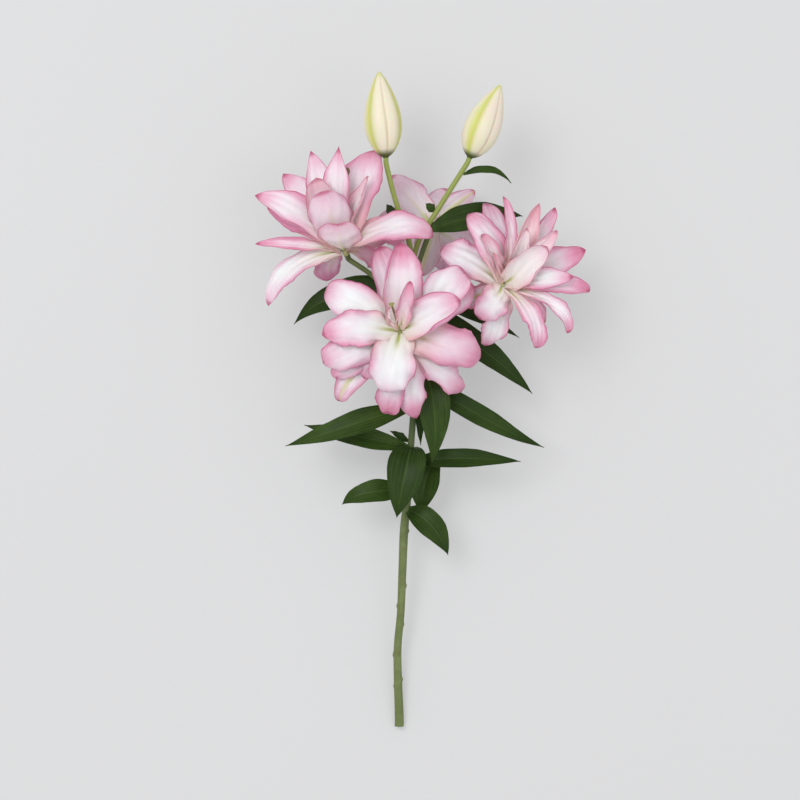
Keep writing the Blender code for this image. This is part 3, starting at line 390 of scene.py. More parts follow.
# Light and view, in metres and watts. Each lamp has its place, size and power.
SKY = 0.74
AIM = (0.0, 0.10, 0.10)
LAMPS = (((-1.6, 1.4, 4.2), 2.2, 92.0), ((2.0, -0.6, 3.8), 2.6, 20.0))
FLOOR_REACH = 4.0
CAMERA_RISE = 5.0
SENSOR_WIDTH = 36.0  # in millimetres
VIEW_WIDTH = 0.96
VIEW_CENTRE = (0.0, 0.3984, 0.1)


# ---- Shapes worked out from the measures ----


def unit(vector):
    """The vector at length one."""
    vector = np.asarray(vector, float)
    return vector / np.linalg.norm(vector)


def smooth_path(points, steps):
    """A Catmull-Rom curve through every point, with the given number of steps between two of them."""
    points = np.asarray(points, float)
    padded = np.vstack([2 * points[0] - points[1], points, 2 * points[-1] - points[-2]])
    place = np.linspace(0, len(points) - 1, (len(points) - 1) * steps + 1)
    index = np.minimum(place.astype(int), len(points) - 2)
    t = (place - index)[:, None]
    a, b, c, d = (padded[index + k] for k in range(4))
    return 0.5 * (2 * b + (c - a) * t + (2 * a - 5 * b + 4 * c - d) * t**2 + (3 * b - a - 3 * c + d) * t**3)


def frames_along(path):
    """Two unit vectors across the path at each point, square to it: one as near to +X as it allows."""
    tangent = np.gradient(path, axis=0, edge_order=2)
    tangent /= np.linalg.norm(tangent, axis=1)[:, None]
    across = np.array([1.0, 0.0, 0.0]) - tangent * tangent[:, :1]
    across /= np.linalg.norm(across, axis=1)[:, None]
    return across, np.cross(across, tangent)


def circle(sides):
    """Evenly spaced angles once round."""
    return np.linspace(0, 2 * np.pi, sides, endpoint=False)


def taper(s, claw, widest, blunt):
    """A blade's half-width from claw to tip, one at its widest: a sine's rise from the claw's share of it,
    times the fall of a superellipse whose power says how blunt the tip is."""
    rise = np.sin(np.pi / 2 * np.minimum(1, s / widest))
    fall = np.clip((s - widest) / (1 - widest), 0, 1)
    return (claw + (1 - claw) * rise) * (1 - fall**2) ** blunt


def midrib(base, tip, facing, lift, droop, sway, hook, s):
    """A cubic curve from base to tip. It leaves the base lifted off the chord towards the facing side,
    droops at the tip, and its two middle handles are swayed sideways. Its end is bent back by the hook.
    Gives points, normals and sideways vectors."""
    base, tip = np.asarray(base, float), np.asarray(tip, float)
    along = unit(tip - base)
    over = unit(np.asarray(facing, float) - np.dot(facing, along) * along)
    side = np.cross(along, over)
    reach = HANDLE_REACH * np.linalg.norm(tip - base)
    lift, droop = np.radians(lift), np.radians(droop)
    first = base + reach * (np.cos(lift) * along + np.sin(lift) * over) + CLAW_SWAY * sway * side
    second = tip - reach * (np.cos(droop) * along - np.sin(droop) * over) + sway * side
    t = s[:, None]
    points = (1 - t) ** 3 * base + 3 * (1 - t) ** 2 * t * first + 3 * (1 - t) * t**2 * second + t**3 * tip
    tangents = 3 * (1 - t) ** 2 * (first - base) + 6 * (1 - t) * t * (second - first)
    tangents += 3 * t**2 * (tip - second)
    tangents /= np.linalg.norm(tangents, axis=1)[:, None]
    normals = over - tangents * (tangents @ over)[:, None]
    normals /= np.linalg.norm(normals, axis=1)[:, None]
    sides = np.cross(tangents, normals)
    bent = np.radians(hook) * np.clip((t - HOOK_START) / (1 - HOOK_START), 0, 1) ** ROLL_POWER
    hooked = np.cos(bent) * tangents - np.sin(bent) * normals
    drift = np.linalg.norm(np.diff(points, axis=0), axis=1)[:, None] * (hooked - tangents)[1:]
    points[1:] += np.cumsum(drift, axis=0)
    return points, np.cross(sides, hooked), sides


def half_section(u, bend, fold, roll):
    """Half of each row across the midrib, at the shares u of the half-width: its slope angle starts at the
    fold, grows by the bend, and gains the roll over its outer part. The angle's cosine and sine are summed
    outwards, which gives the places across and above the midrib."""
    fine = np.linspace(0, 1, SECTION_STEPS)
    slope = fold + bend * fine + roll * np.clip((fine - ROLL_START) / (1 - ROLL_START), 0, 1) ** ROLL_POWER
    steps = np.stack([np.cos(slope), np.sin(slope)])
    steps = 0.5 * (steps[..., 1:] + steps[..., :-1]) * (fine[1] - fine[0])
    sums = np.concatenate([np.zeros_like(steps[..., :1]), np.cumsum(steps, axis=2)], axis=2)
    place = u * (len(fine) - 1)
    index = np.minimum(place.astype(int), len(fine) - 2)
    share = place - index
    return sums[..., index] * (1 - share) + sums[..., index + 1] * share


def blade(base, tip, facing, half_width, lift, droop, sway, roll, cup, curl, ruffle, left=0.0, right=0.0,
          hook=0.0, *, claw, blunt, stations, columns, waves=2.6, phase=0.0, fold=0.0, widest=0.55):
    """The middle surface of a petal or leaf, as a grid of points. Across the midrib each row is an arc, whose
    bend goes from cup to curl along the blade, with its left and right margins rolled. A ruffle lifts the
    margins in long waves with short ones on them, each a sine times a power of how far out it is, and draws
    them in where they are steep. The roll turns the rows about the midrib as they go out. The columns are
    their number, or their places across."""
    s = np.linspace(0, 1, stations)
    v = np.asarray(columns, float) if np.ndim(columns) else np.linspace(-1, 1, columns)
    points, normals, sides = midrib(base, tip, facing, lift, droop, sway, hook, s)
    turn = np.radians(roll) * s[:, None] ** TURN_POWER
    normals, sides = (np.cos(turn) * normals + np.sin(turn) * sides,
                      np.cos(turn) * sides - np.sin(turn) * normals)
    s = s[:, None]
    width = np.maximum(half_width * taper(s, claw, widest, blunt), LEAST_HALF_WIDTH)
    bend = cup + (curl - cup) * s
    rolled = np.minimum(1, s / ROLL_FULL) ** ROLL_POWER
    left_across, left_over = half_section(np.abs(v), bend, fold, left * rolled)
    right_across, right_over = half_section(np.abs(v), bend, fold, right * rolled)
    lateral = width * np.where(v < 0, -left_across, right_across)
    height = width * np.where(v < 0, left_over, right_over)
    swing = ruffle * np.sin(np.pi * s ** SWELL[0]) ** SWELL[1]
    long_wave = 2 * np.pi * (waves * s + phase + MARGIN_SHIFT * np.sign(v))
    short_wave = SHORT_RATE[0] * long_wave + SHORT_RATE[1] * np.sin(SHORT_RATE[2] * s)
    out = np.abs(v)
    height = height + swing * (out**2.4 * np.sin(long_wave) + SHORT_WAVES[0] * out**5 * np.sin(short_wave))
    drawn_in = out**3 * (1 + np.cos(long_wave + DRAWN_IN[1]))
    drawn_in = drawn_in + SHORT_WAVES[1] * out**6 * (1 + np.cos(short_wave))
    lateral = lateral - DRAWN_IN[0] * np.sign(v) * swing * drawn_in
    return points[:, None] + lateral[..., None] * sides[:, None] + height[..., None] * normals[:, None]


def heart_of(bloom):
    """The point where a bloom's tepals meet."""
    return np.array(bloom["heart"], float)


def tepal_base(bloom, number):
    """Where a tepal starts: on the bloom's knob, on the side that its tip lies, and further up the knob the
    later it comes in the bloom's rows."""
    axis = unit(bloom["facing"])
    tip = np.array(bloom["tepals"][number][:3], float)
    outward = tip - np.dot(tip, axis) * axis
    outward *= TEPAL_SPREAD / (TEPAL_SPREAD + np.linalg.norm(outward))
    climb = np.interp(number, (0, len(bloom["tepals"]) - 1), TEPAL_CLIMB)
    return heart_of(bloom) + outward + climb * axis


def tepal_blade(bloom, number, stations, columns):
    """One tepal of a bloom, from its row of measures. Its ruffle's waves start by its number."""
    row = bloom["tepals"][number]
    tip, measures, turned = row[:3], row[3:11], row[11:]
    left, right, hook, blunt = (*turned, *(0, 0, 0, bloom["blunt"])[len(turned):])
    facing = bloom.get("turned", {}).get(number, bloom["facing"])
    waves, more, shift = TEPAL_WAVES
    sheet = blade(tepal_base(bloom, number), heart_of(bloom) + tip, facing, *measures, left, right, hook,
                  claw=PETAL_CLAW, blunt=blunt, stations=stations, columns=columns,
                  waves=waves + more * (number % 4), phase=shift * number)
    return above_table(sheet)


def above_table(sheet):
    """The sheet with what would sink into the table laid flat on it."""
    sheet[..., 2] = np.maximum(sheet[..., 2], FLAT * BLADE_THICKNESS)
    return sheet


def leaf_blade(base, measures, stations, columns):
    """A lance-shaped leaf, lightly folded along its midrib."""
    tip, *measures = measures
    return blade(base, tip, LEAF_FACING, *measures, cup=0.35, curl=0.25, ruffle=0.8, fold=0.12, claw=0.3,
                 widest=0.38, blunt=1.15, stations=stations, columns=columns)


def leaf_on(path, radii, place, bearing, measures, stations, columns):
    """A leaf whose base edge lies a seat's gap off the stem or pedicel. It grows from the given place along
    the path, counted in its points, on the side that the bearing gives: 0 is up and 90 towards +X."""
    index = np.arange(len(path))
    centre = np.array([np.interp(place, index, path[:, k]) for k in range(3)])
    across, over = (directions[int(round(place))] for directions in frames_along(path))
    out = np.sin(np.radians(bearing)) * across + np.cos(np.radians(bearing)) * over
    base = centre + out * np.interp(place, index, radii)
    for _ in range(SEAT_ROUNDS):
        near = leaf_blade(base, measures, *SEAT_GRID).reshape(-1, 1, 3)
        apart = (np.linalg.norm(near - path[None], axis=2) - radii).min()
        base = base + out * (SEAT_GAP + 0.5 * BLADE_THICKNESS - apart)
    return above_table(leaf_blade(base, measures, stations, columns))


def all_leaves(stations, columns):
    """Every leaf and bract by name, as the middle surface of its blade."""
    path, radii = stem_path(SEAT_STEPS)
    sheets = {}
    for name, (height, bearing, *measures) in LEAVES.items():
        place = np.interp(height, path[:, 1], np.arange(len(path)))
        sheets[name] = leaf_on(path, radii, place, bearing, measures, stations, columns)
    for name, (pedicel, share, bearing, *measures) in BRACTS.items():
        path, radii = pedicel_path(pedicel, SEAT_STEPS)
        sheets[name] = leaf_on(path, radii, share * (len(path) - 1), bearing, measures, stations, columns)
    return sheets


def stem_path(steps):
    """The main stem's middle line and its radius there."""
    rows = smooth_path(STEM, steps)
    return rows[:, :3], rows[:, 3]


def pedicel_path(name, steps):
    """A pedicel's middle line and its radius. It ends two seat gaps short of the bloom's knob or the bud."""
    if name in BLOOMS:
        axis = unit(BLOOMS[name]["facing"])
        end = heart_of(BLOOMS[name]) - (RECEPTACLE[1] + 2 * SEAT_GAP) * axis
    else:
        base, tip, _ = BUDS[name]
        axis = unit(np.subtract(tip, base))
        end = np.array(base, float) - 2 * SEAT_GAP * axis
    straight = [end - share * PEDICEL_END * axis for share in (1.0, 0.5, 0.0)]
    path = smooth_path([*PEDICELS[name], *straight], steps)
    return path, np.full(len(path), PEDICEL_RADIUS)


def bud_profile(s):
    """A bud's radius along its length, one at its widest: a sine's power, lopsided towards the base and
    narrowed in a straight line, and near the tip a cone."""
    return np.maximum(np.sin(np.pi * s**0.85) ** 0.72 * (1.12 - 0.28 * s), 0.16 * (1 - s))


# ---- Meshes ----


def spread(columns, tightness):
    """Places across a blade from -1 to 1, closer together towards both margins: t plus a cubic in t."""
    t = np.linspace(-1, 1, columns)
    return t * (1 + 0.5 * tightness * (1 - t**2))


def sheet_normals(sheet):
    """The unit normal at each point of a grid, from the differences along its rows and columns."""
    normals = np.cross(np.gradient(sheet, axis=1), np.gradient(sheet, axis=0))
    return normals / np.maximum(np.linalg.norm(normals, axis=2), 1e-9)[..., None]


def grid_quads(rows, columns, wrap=False):
    """The quads between neighbouring rows and columns, and between the last and first column of a tube."""
    i, j = np.meshgrid(np.arange(rows - 1), np.arange(columns - (not wrap)), indexing="ij")
    a, b = i * columns + j, i * columns + (j + 1) % columns
    return np.stack([a, b, b + columns, a + columns], -1).reshape(-1, 4)


def placed(name, data):
    """An object of the data, at the origin and in the scene."""
    made = bpy.data.objects.new(name, data)
    bpy.context.scene.collection.objects.link(made)
    return made


class Surface:
    """Points, faces and values at the points, gathered part by part into one mesh."""

    def __init__(self):
        self.points, self.faces, self.values, self.count = [], [], {}, 0

    def add(self, points, *faces, **values):
        """Joins on more points and arrays of faces, with a value at each point for each named attribute."""
        self.points.append(points)
        for block in faces:
            self.faces.extend((block + self.count).tolist())
        for name, value in values.items():
            self.values.setdefault(name, []).append(np.broadcast_to(value, points.shape[:1]))
        self.count += len(points)

    def piece(self, node, finish):
        """The gathered surface as an object that rides on the body and stands for the node."""
        mesh = bpy.data.meshes.new(node + "_skin")
        points = (np.concatenate(self.points) - (*FOOT, 0.0)) * MM
        mesh.from_pydata(points.tolist(), [], self.faces)
        for attribute, parts in self.values.items():
            layer = mesh.attributes.new(attribute, "FLOAT", "POINT")
            layer.data.foreach_set("value", np.concatenate(parts).astype(np.float32))
        mesh.update()
        mesh.shade_smooth()
        mesh.materials.append(finish)
        made = placed(node + "_skin", mesh)
        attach(made, BODY)
        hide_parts(node)


def add_blade(surface, sheet, half, across, along, **values):
    """A thin closed blade about a middle surface: its upper and lower faces lie half a thickness off it, and
    a rim of quads joins them. The attribute under is 0 on the upper face and 1 on the lower one."""
    rows, columns = sheet.shape[:2]
    offset = half[..., None] * sheet_normals(sheet)
    points = np.stack([sheet + offset, sheet - offset]).reshape(-1, 3)
    points[:, 2] = np.maximum(points[:, 2], TABLE_GAP)
    upper = grid_quads(rows, columns)
    edge = np.concatenate([
        np.arange(columns),
        np.arange(1, rows) * columns + columns - 1,
        rows * columns - 1 - np.arange(1, columns),
        (rows - 1 - np.arange(1, rows)) * columns,
    ])
    below = edge + rows * columns
    rim = np.stack([edge[:-1], below[:-1], below[1:], edge[1:]], 1)
    grid = np.ones((2, rows, columns))
    surface.add(points, upper, upper[:, ::-1] + rows * columns, rim, across=(grid * across).ravel(),
                along=(grid * along).ravel(), under=np.repeat([0.0, 1.0], rows * columns), **values)


def add_tube(surface, rings, **values):
    """A tube of rings, each joined to the next, with a point that closes each end. A value may be one for
    each ring, for each side, or for both."""
    rows, sides = rings.shape[:2]
    turn, following, first = np.arange(sides), np.roll(np.arange(sides), -1), rows * sides
    start = np.stack([np.full(sides, first), following, turn], 1)
    end = np.stack([np.full(sides, first + 1), turn + first - sides, following + first - sides], 1)
    for name, value in values.items():
        value = np.broadcast_to(value, (rows, sides))
        values[name] = np.concatenate([value.ravel(), value[[0, -1]].mean(axis=1)])
    points = np.concatenate([rings.reshape(-1, 3), rings[[0, -1]].mean(axis=1)])
    surface.add(points, grid_quads(rows, sides, wrap=True), start, end, **values)


def round_rings(path, radii, sides):
    """Circles square to a path, one at each point. Radii may be one for each point or for each side too."""
    across, over = frames_along(path)
    angle = circle(sides)[None, :, None]
    spokes = np.cos(angle) * over[:, None] + np.sin(angle) * across[:, None]
    rings = path[:, None] + radii.reshape(len(path), -1, 1) * spokes
    rings[..., 2] = np.maximum(rings[..., 2], 0.0)
    return rings


# ---- Finishes ----


def new_node(tree, kind, inputs=(), **settings):
    """A node with its settings, whose inputs take a constant or another node's output."""
    made = tree.nodes.new(kind)
    for key, value in settings.items():
        setattr(made, key, value)
    for key, value in dict(inputs).items():
        feed(tree, made.inputs[key], value)
    return made


def feed(tree, socket, value):
    """Gives an input a constant or another node's output."""
    if isinstance(value, bpy.types.NodeSocket):
        tree.links.new(value, socket)
    else:
        socket.default_value = value


def readings(tree, *names):
    """Numbers that the surface carries at its points, by name."""
    return [new_node(tree, "ShaderNodeAttribute", attribute_name=name).outputs["Fac"] for name in names]


def maths(tree, operation, *inputs):
    """One step of arithmetic."""
    return new_node(tree, "ShaderNodeMath", enumerate(inputs), operation=operation).outputs[0]


def times(tree, first, second):
    """The product of two numbers."""
    return maths(tree, "MULTIPLY", first, second)


def mixed(tree, first, second, share):
    """A share of the first number and the rest of the second."""
    return maths(tree, "MULTIPLY_ADD", second, 1 - share, times(tree, first, share))


def swayed(tree, value, parts, strengths):
    """The value plus how far each part is from a half, times its strength."""
    for part, strength in zip(parts, strengths):
        value = maths(tree, "MULTIPLY_ADD", maths(tree, "SUBTRACT", part, 0.5), strength, value)
    return value


def fade(tree, value, places):
    """A number eased from one strength to another between two places."""
    inputs = enumerate((value, *places))
    return new_node(tree, "ShaderNodeMapRange", inputs, interpolation_type="SMOOTHSTEP").outputs[0]


def blend(tree, share, first, second):
    """A share of the second colour over the first."""
    return new_node(tree, "ShaderNodeMix", {0: share, 6: first, 7: second}, data_type="RGBA").outputs[2]


def strip(tree, along, side, fades):
    """How strong a strip up the middle of a petal is: its fade along it times its fade across it."""
    return times(tree, fade(tree, along, fades[0]), fade(tree, side, fades[1]))


def marked(tree, colour, **marks):
    """The colour with the named marks over it, in turn, each as strong as the number it follows says."""
    for name, number in marks.items():
        over, strength = MARKS[name.replace("_", " ")]
        eased = fade if isinstance(strength, tuple) else times
        colour = blend(tree, eased(tree, number, strength), colour, (*over, 1.0))
    return colour


def ramp(tree, value, stops):
    """Colours at places between 0 and 1."""
    made = new_node(tree, "ShaderNodeValToRGB", {0: value})
    while len(made.color_ramp.elements) < len(stops):
        made.color_ramp.elements.new(0.5)
    for element, (place, colour) in zip(made.color_ramp.elements, stops):
        element.position = place
        element.color = (*colour, 1.0)
    return made.outputs[0]


def noise(tree, place, scale, detail, roughness=0.55):
    """Soft noise about a half."""
    inputs = {"Vector": place, "Scale": scale, "Detail": detail, "Roughness": roughness}
    return new_node(tree, "ShaderNodeTexNoise", inputs).outputs["Fac"]


def object_place(tree):
    """The place on the object, in metres."""
    return new_node(tree, "ShaderNodeTexCoord").outputs["Object"]


def clouded(tree, name):
    """The named noise, all through the object."""
    return noise(tree, object_place(tree), *NOISES[name])


def veined(tree, name, *numbers):
    """Noise that follows three numbers of the named skin, drawn out along those that change it slowly."""
    scaled = (times(tree, number, rate) for number, rate in zip(numbers, VEIN_RATES[name]))
    place = new_node(tree, "ShaderNodeCombineXYZ", enumerate(scaled)).outputs[0]
    return noise(tree, place, *NOISES["veins"])


def finished(tree, colour, relief, roughness, depth, **constants):
    """Sets the shader: colour, a bump from the relief, roughness, and constants on its own sockets."""
    shader = tree.nodes["Principled BSDF"]
    bump = new_node(tree, "ShaderNodeBump", {"Strength": 1.0, "Distance": depth, "Height": relief})
    tree.links.new(bump.outputs[0], shader.inputs["Normal"])
    feed(tree, shader.inputs["Base Color"], colour)
    feed(tree, shader.inputs["Roughness"], roughness)
    for name, value in constants.items():
        shader.inputs[name.replace("_", " ")].default_value = value


def new_finish(name):
    """A material with its shader nodes."""
    finish = bpy.data.materials.new(name)
    finish.use_nodes = True
    return finish, finish.node_tree


def petal_finish():
    """Petals: nearly white along the middle, pink towards the margins and tip, with a darker line at the very
    edge, cream at the base, salmon on the innermost, a yellow-green streak up the throat and a green rib on
    the outermost. The undersides are cooler, and fine veins and soft clouds run through it all."""
    finish, tree = new_finish("petal")
    across, along, under, tint, salmon, green = readings(
        tree, "across", "along", "under", "tint", "salmon", "green")
    side = maths(tree, "ABSOLUTE", across)
    veins = veined(tree, "petal", across, along, tint)
    clouds, flush = clouded(tree, "petal clouds"), clouded(tree, "petal flush")
    power, most, least = PETAL_PINK
    edge = maths(tree, "MAXIMUM", maths(tree, "POWER", side, power), fade(tree, along, TIP_FADE))
    depth = maths(tree, "MULTIPLY_ADD", edge, most, least)
    depth = swayed(tree, depth, (veins, clouds, flush, tint), PETAL_SWAY)
    colour = blend(tree, under, ramp(tree, depth, PETAL_FACE), ramp(tree, depth, PETAL_BACK))
    rim = maths(tree, "MULTIPLY_ADD", clouds, RIM_WAVER, maths(tree, "MAXIMUM", side, along))
    warm = times(tree, fade(tree, along, WARM_FADE), salmon)
    rib = times(tree, strip(tree, along, side, RIB_FADES), maths(tree, "MULTIPLY_ADD", under, *RIB_UNDER))
    rib = maths(tree, "MAXIMUM", rib, times(tree, strip(tree, along, side, STRIPE_FADES), green))
    colour = marked(tree, colour, petal_line=rim, petal_cream=along, petal_warm=warm,
                    petal_throat=strip(tree, along, side, THROAT_FADES), petal_rib=rib)
    relief = maths(tree, "MULTIPLY_ADD", clouded(tree, "petal grain"), GRAIN, veins)
    finished(tree, colour, relief, roughness=0.46, depth=0.00022, Specular_IOR_Level=0.3,
             Subsurface_Weight=0.4, Subsurface_Scale=0.005, Subsurface_Radius=(1.0, 0.5, 0.55),
             Sheen_Weight=0.15, Sheen_Roughness=0.5)
    return finish


def leaf_finish():
    """Leaves: dark and glossy with paler parallel veins and midrib, matt and greyer underneath."""
    finish, tree = new_finish("leaf")
    across, along, under, tint = readings(tree, "across", "along", "under", "tint")
    wave = maths(tree, "COSINE", times(tree, across, LEAF_VEINS * 2 * np.pi))
    veins = fade(tree, wave, VEIN_FADE)
    streaks = veined(tree, "leaf", across, along, tint)
    shade = mixed(tree, streaks, clouded(tree, "leaf clouds"), STREAK_SHARE)
    colour = ramp(tree, swayed(tree, shade, (tint,), (LEAF_SWAY,)), LEAF_FACE)
    colour = marked(tree, colour, leaf_vein=veins, leaf_midrib=maths(tree, "ABSOLUTE", across),
                    leaf_back=under, leaf_base=along)
    roughness = maths(tree, "MULTIPLY_ADD", streaks, *LEAF_GLOSS)
    relief = maths(tree, "SUBTRACT", times(tree, streaks, STREAK_SHARE), veins)
    finished(tree, colour, relief, roughness, depth=0.0002, Specular_IOR_Level=0.14)
    return finish


def stem_finish():
    """Stem: light green, streaked along its length, darker towards its top, yellower on the buds' pedicels
    and browner at the scars."""
    finish, tree = new_finish("stem")
    mark, height, young = readings(tree, "mark", "height", "young")
    mapping = {"Vector": object_place(tree), "Scale": STEM_STRETCH}
    stretched = new_node(tree, "ShaderNodeMapping", mapping).outputs[0]
    streaks = noise(tree, stretched, *NOISES["stem streaks"])
    clouds = clouded(tree, "stem clouds")
    colour = ramp(tree, mixed(tree, streaks, clouds, 0.5), STEM_GREEN)
    colour = marked(tree, colour, stem_top=height, young_stem=young, scar=mark)
    relief = maths(tree, "ADD", streaks, clouds)
    finished(tree, colour, relief, roughness=0.42, depth=0.0004, Specular_IOR_Level=0.3)
    return finish


def bud_finish():
    """Buds: creamy and faintly pink, with a yellow-green rib up each segment, browner seams between them, a
    dark green base and a greener tip."""
    finish, tree = new_finish("bud")
    along, rib, seam, beside, above = readings(tree, "along", "rib", "seam", "beside", "above")
    streaks = veined(tree, "bud", beside, above, along)
    shade = mixed(tree, clouded(tree, "bud clouds"), streaks, STREAK_SHARE)
    colour = marked(tree, ramp(tree, shade, BUD_CREAM), bud_rib=rib, bud_seam=seam, bud_base=along,
                    bud_tip=along)
    finished(tree, colour, streaks, roughness=0.44, depth=0.0004, Specular_IOR_Level=0.35,
             Subsurface_Weight=0.2, Subsurface_Scale=0.004)
    return finish


def pistil_finish():
    """Pistils: a yellow-green ovary, an olive style and a stigma of its own shade, all finely speckled."""
    finish, tree = new_finish("pistil")
    [along] = readings(tree, "along")
    specks = clouded(tree, "pistil specks")
    colour = marked(tree, ramp(tree, along, PISTIL_GREEN), pistil_specks=specks)
    finished(tree, colour, specks, roughness=0.5, depth=0.0004)
    return finish


def floor_finish():
    """A plain matt floor that gives off a little light itself."""
    finish, tree = new_finish("floor")
    shade = clouded(tree, "floor clouds")
    colour = ramp(tree, shade, ((0.3, FLOOR_COLOUR), (0.7, tuple(1.01 * c for c in FLOOR_COLOUR))))
    finished(tree, colour, shade, roughness=0.9, depth=0.0001, Emission_Color=WHITE,
             Emission_Strength=FLOOR_GLOW)
    return finish


# ---- The pieces ----


def bell(distance):
    """One at no distance, and the exponential of minus its square beyond."""
    return np.exp(-(distance**2))


def petal_relief(s, v, half_width, number):
    """How far a petal's skin lies off its even sheet: a groove along the midrib that fades to the tip, with a
    soft ridge on each side of it, both bells, and shallow puckers, products of sines whose waves run
    slantwise, to the other side on every second petal."""
    off = np.abs(v) * half_width / GROOVE_WIDTH
    share, place = GROOVE_RIDGE
    groove = -GROOVE_DEPTH * (bell(off) - share * bell(off - place)) * (1 - GROOVE_FADE * s)
    along, across, shift = PUCKER_WAVES
    slant = 2 * np.pi * (along * s + across * v * np.sign(0.5 - number % 2) + shift * number)
    slant = slant + PUCKER_BEND[0] * np.sin(PUCKER_BEND[1] * s + number)
    crossing = 2 * np.pi * (PUCKER_CROSS[0] * v + PUCKER_CROSS[1] * s)
    pucker = PUCKER * np.sin(slant) * np.sin(crossing) * np.sin(np.pi * s)
    return groove + pucker * (PUCKER_MIDDLE + (1 - PUCKER_MIDDLE) * np.abs(v))


def half_skin(s, v, skin, keel_width):
    """Half a blade's thickness: its margin's, more by a flat circle's height towards the middle, and more
    by a bell at the keel, which fades to the tip by the share s."""
    margin, body, keel = skin
    return 0.5 * (margin + body * np.sqrt(1 - ROUNDING * v**2) + keel * bell(v / keel_width) * (1 - s))


def make_bloom(name, finish):
    """A bloom: the tepals of its table about its knob."""
    bloom = BLOOMS[name]
    surface = Surface()
    radius, half_length = RECEPTACLE
    rows, sides = KNOB_GRID
    steps = np.linspace(-1, 1, rows)
    span, middle = KNOB_SPAN
    line = heart_of(bloom) + (span * steps[:, None] + middle) * half_length * unit(bloom["facing"])
    rings = round_rings(line, KNOB_SHARE * radius * np.sqrt(BLUNT_END - steps**2), sides)
    add_tube(surface, rings, across=0.0, along=0.12, under=0.0, tint=0.2, salmon=0.0, green=0.4)
    rows, columns = PETAL_GRID
    v = spread(columns, tightness=0.7)
    s = np.linspace(0, 1, rows)[:, None]
    thin, growth = TIP_THINNING
    for number, tepal in enumerate(bloom["tepals"]):
        half_width = tepal[3]
        sheet = tepal_blade(bloom, number, rows, v)
        sheet = sheet + petal_relief(s, v, half_width, number)[..., None] * sheet_normals(sheet)
        sheet = above_table(sheet)
        half = half_skin(KEEL_FADE * s, v, PETAL_SKIN, GROOVE_WIDTH / half_width)
        half = half * np.minimum(1, thin + growth * (1 - s)) ** 0.5
        # the tint is partly painted shade: it is set deeper on tepals that lie in shade
        add_blade(surface, sheet, half, v, s, tint=TINTS_AND_SHADE[name][number], salmon=SALMON[name].get(number, 0.0),
                  green=float(number in GREEN_RIBBED[name]))
    surface.piece("bloom_" + name, finish)


def leaf_relief(s, v):
    """A leaf's skin: a sharp groove along the midrib and shallow furrows along its parallel veins."""
    depth, width, _ = LEAF_GROOVE
    furrows = -LEAF_FURROW * np.maximum(0, np.cos(2 * np.pi * LEAF_VEINS * v)) ** 3
    return furrows * np.sin(np.pi * s) - depth * bell(v * LEAF_SPAN / width) * (1 - KEEL_FADE * s)


def make_leaves(finish):
    """Every leaf and bract as its own piece."""
    rows, columns = LEAF_GRID
    v = spread(columns, tightness=0.4)
    s = np.linspace(0, 1, rows)[:, None]
    half = half_skin(0 * s, v, LEAF_SKIN, LEAF_GROOVE[2] / LEAF_SPAN)
    for name, sheet in all_leaves(rows, v).items():
        sheet = sheet + leaf_relief(s, v)[..., None] * sheet_normals(sheet)
        sheet = above_table(sheet)
        surface = Surface()
        add_blade(surface, sheet, half, v, s, tint=RNG.uniform(*LEAF_TINTS))
        surface.piece(name, finish)


def make_stem(finish):
    """The stem and its pedicels: tubes with ridges along them, as cosines round them, and on the stem a bell
    at each scar of the lower leaves. A pedicel's line is averaged with its neighbours, to ease its bends, and
    its radius changes by the sixth power of the way along it."""
    surface = Surface()
    steps, sides = STEM_GRID
    path, radii = stem_path(steps)
    angle = circle(sides)
    radii, height = radii[:, None], path[:, 1:2]
    ridge, ridges, twist = STEM_RIDGES
    skin = radii + ridge * np.cos(ridges * angle + twist * height)
    mark = np.zeros_like(skin)
    wide, long, swelling = SCAR_SIZE
    for scar, bearing in SCARS:
        off = np.angle(np.exp(1j * (angle - np.radians(bearing)))) * radii / wide
        rise = (height - scar) / long
        skin = skin + swelling * bell(off) * bell(rise)
        mark = np.maximum(mark, (bell(off) * bell(rise + 0.5)) ** 1.6)
    add_tube(surface, round_rings(path, skin, sides), mark=mark, height=height / STEM_TOP, young=0.0)
    steps, sides = PEDICEL_GRID
    ridge, ridges = PEDICEL_RIDGES
    for name in PEDICELS:
        path, radii = pedicel_path(name, steps)
        for _ in range(PEDICEL_EASING):
            path[1:-1] = 0.25 * (path[:-2] + 2 * path[1:-1] + path[2:])
        far = np.linspace(0, 1, len(path))[:, None]
        flare = PEDICEL_FLARE[name in BUDS]
        skin = radii[:, None] * (1 + flare * far**6) + ridge * np.cos(ridges * circle(sides))
        add_tube(surface, round_rings(path, skin, sides), mark=0.0, height=0.5 * (name in BLOOMS),
                 young=float(name in BUDS))
    surface.piece("stem", finish)


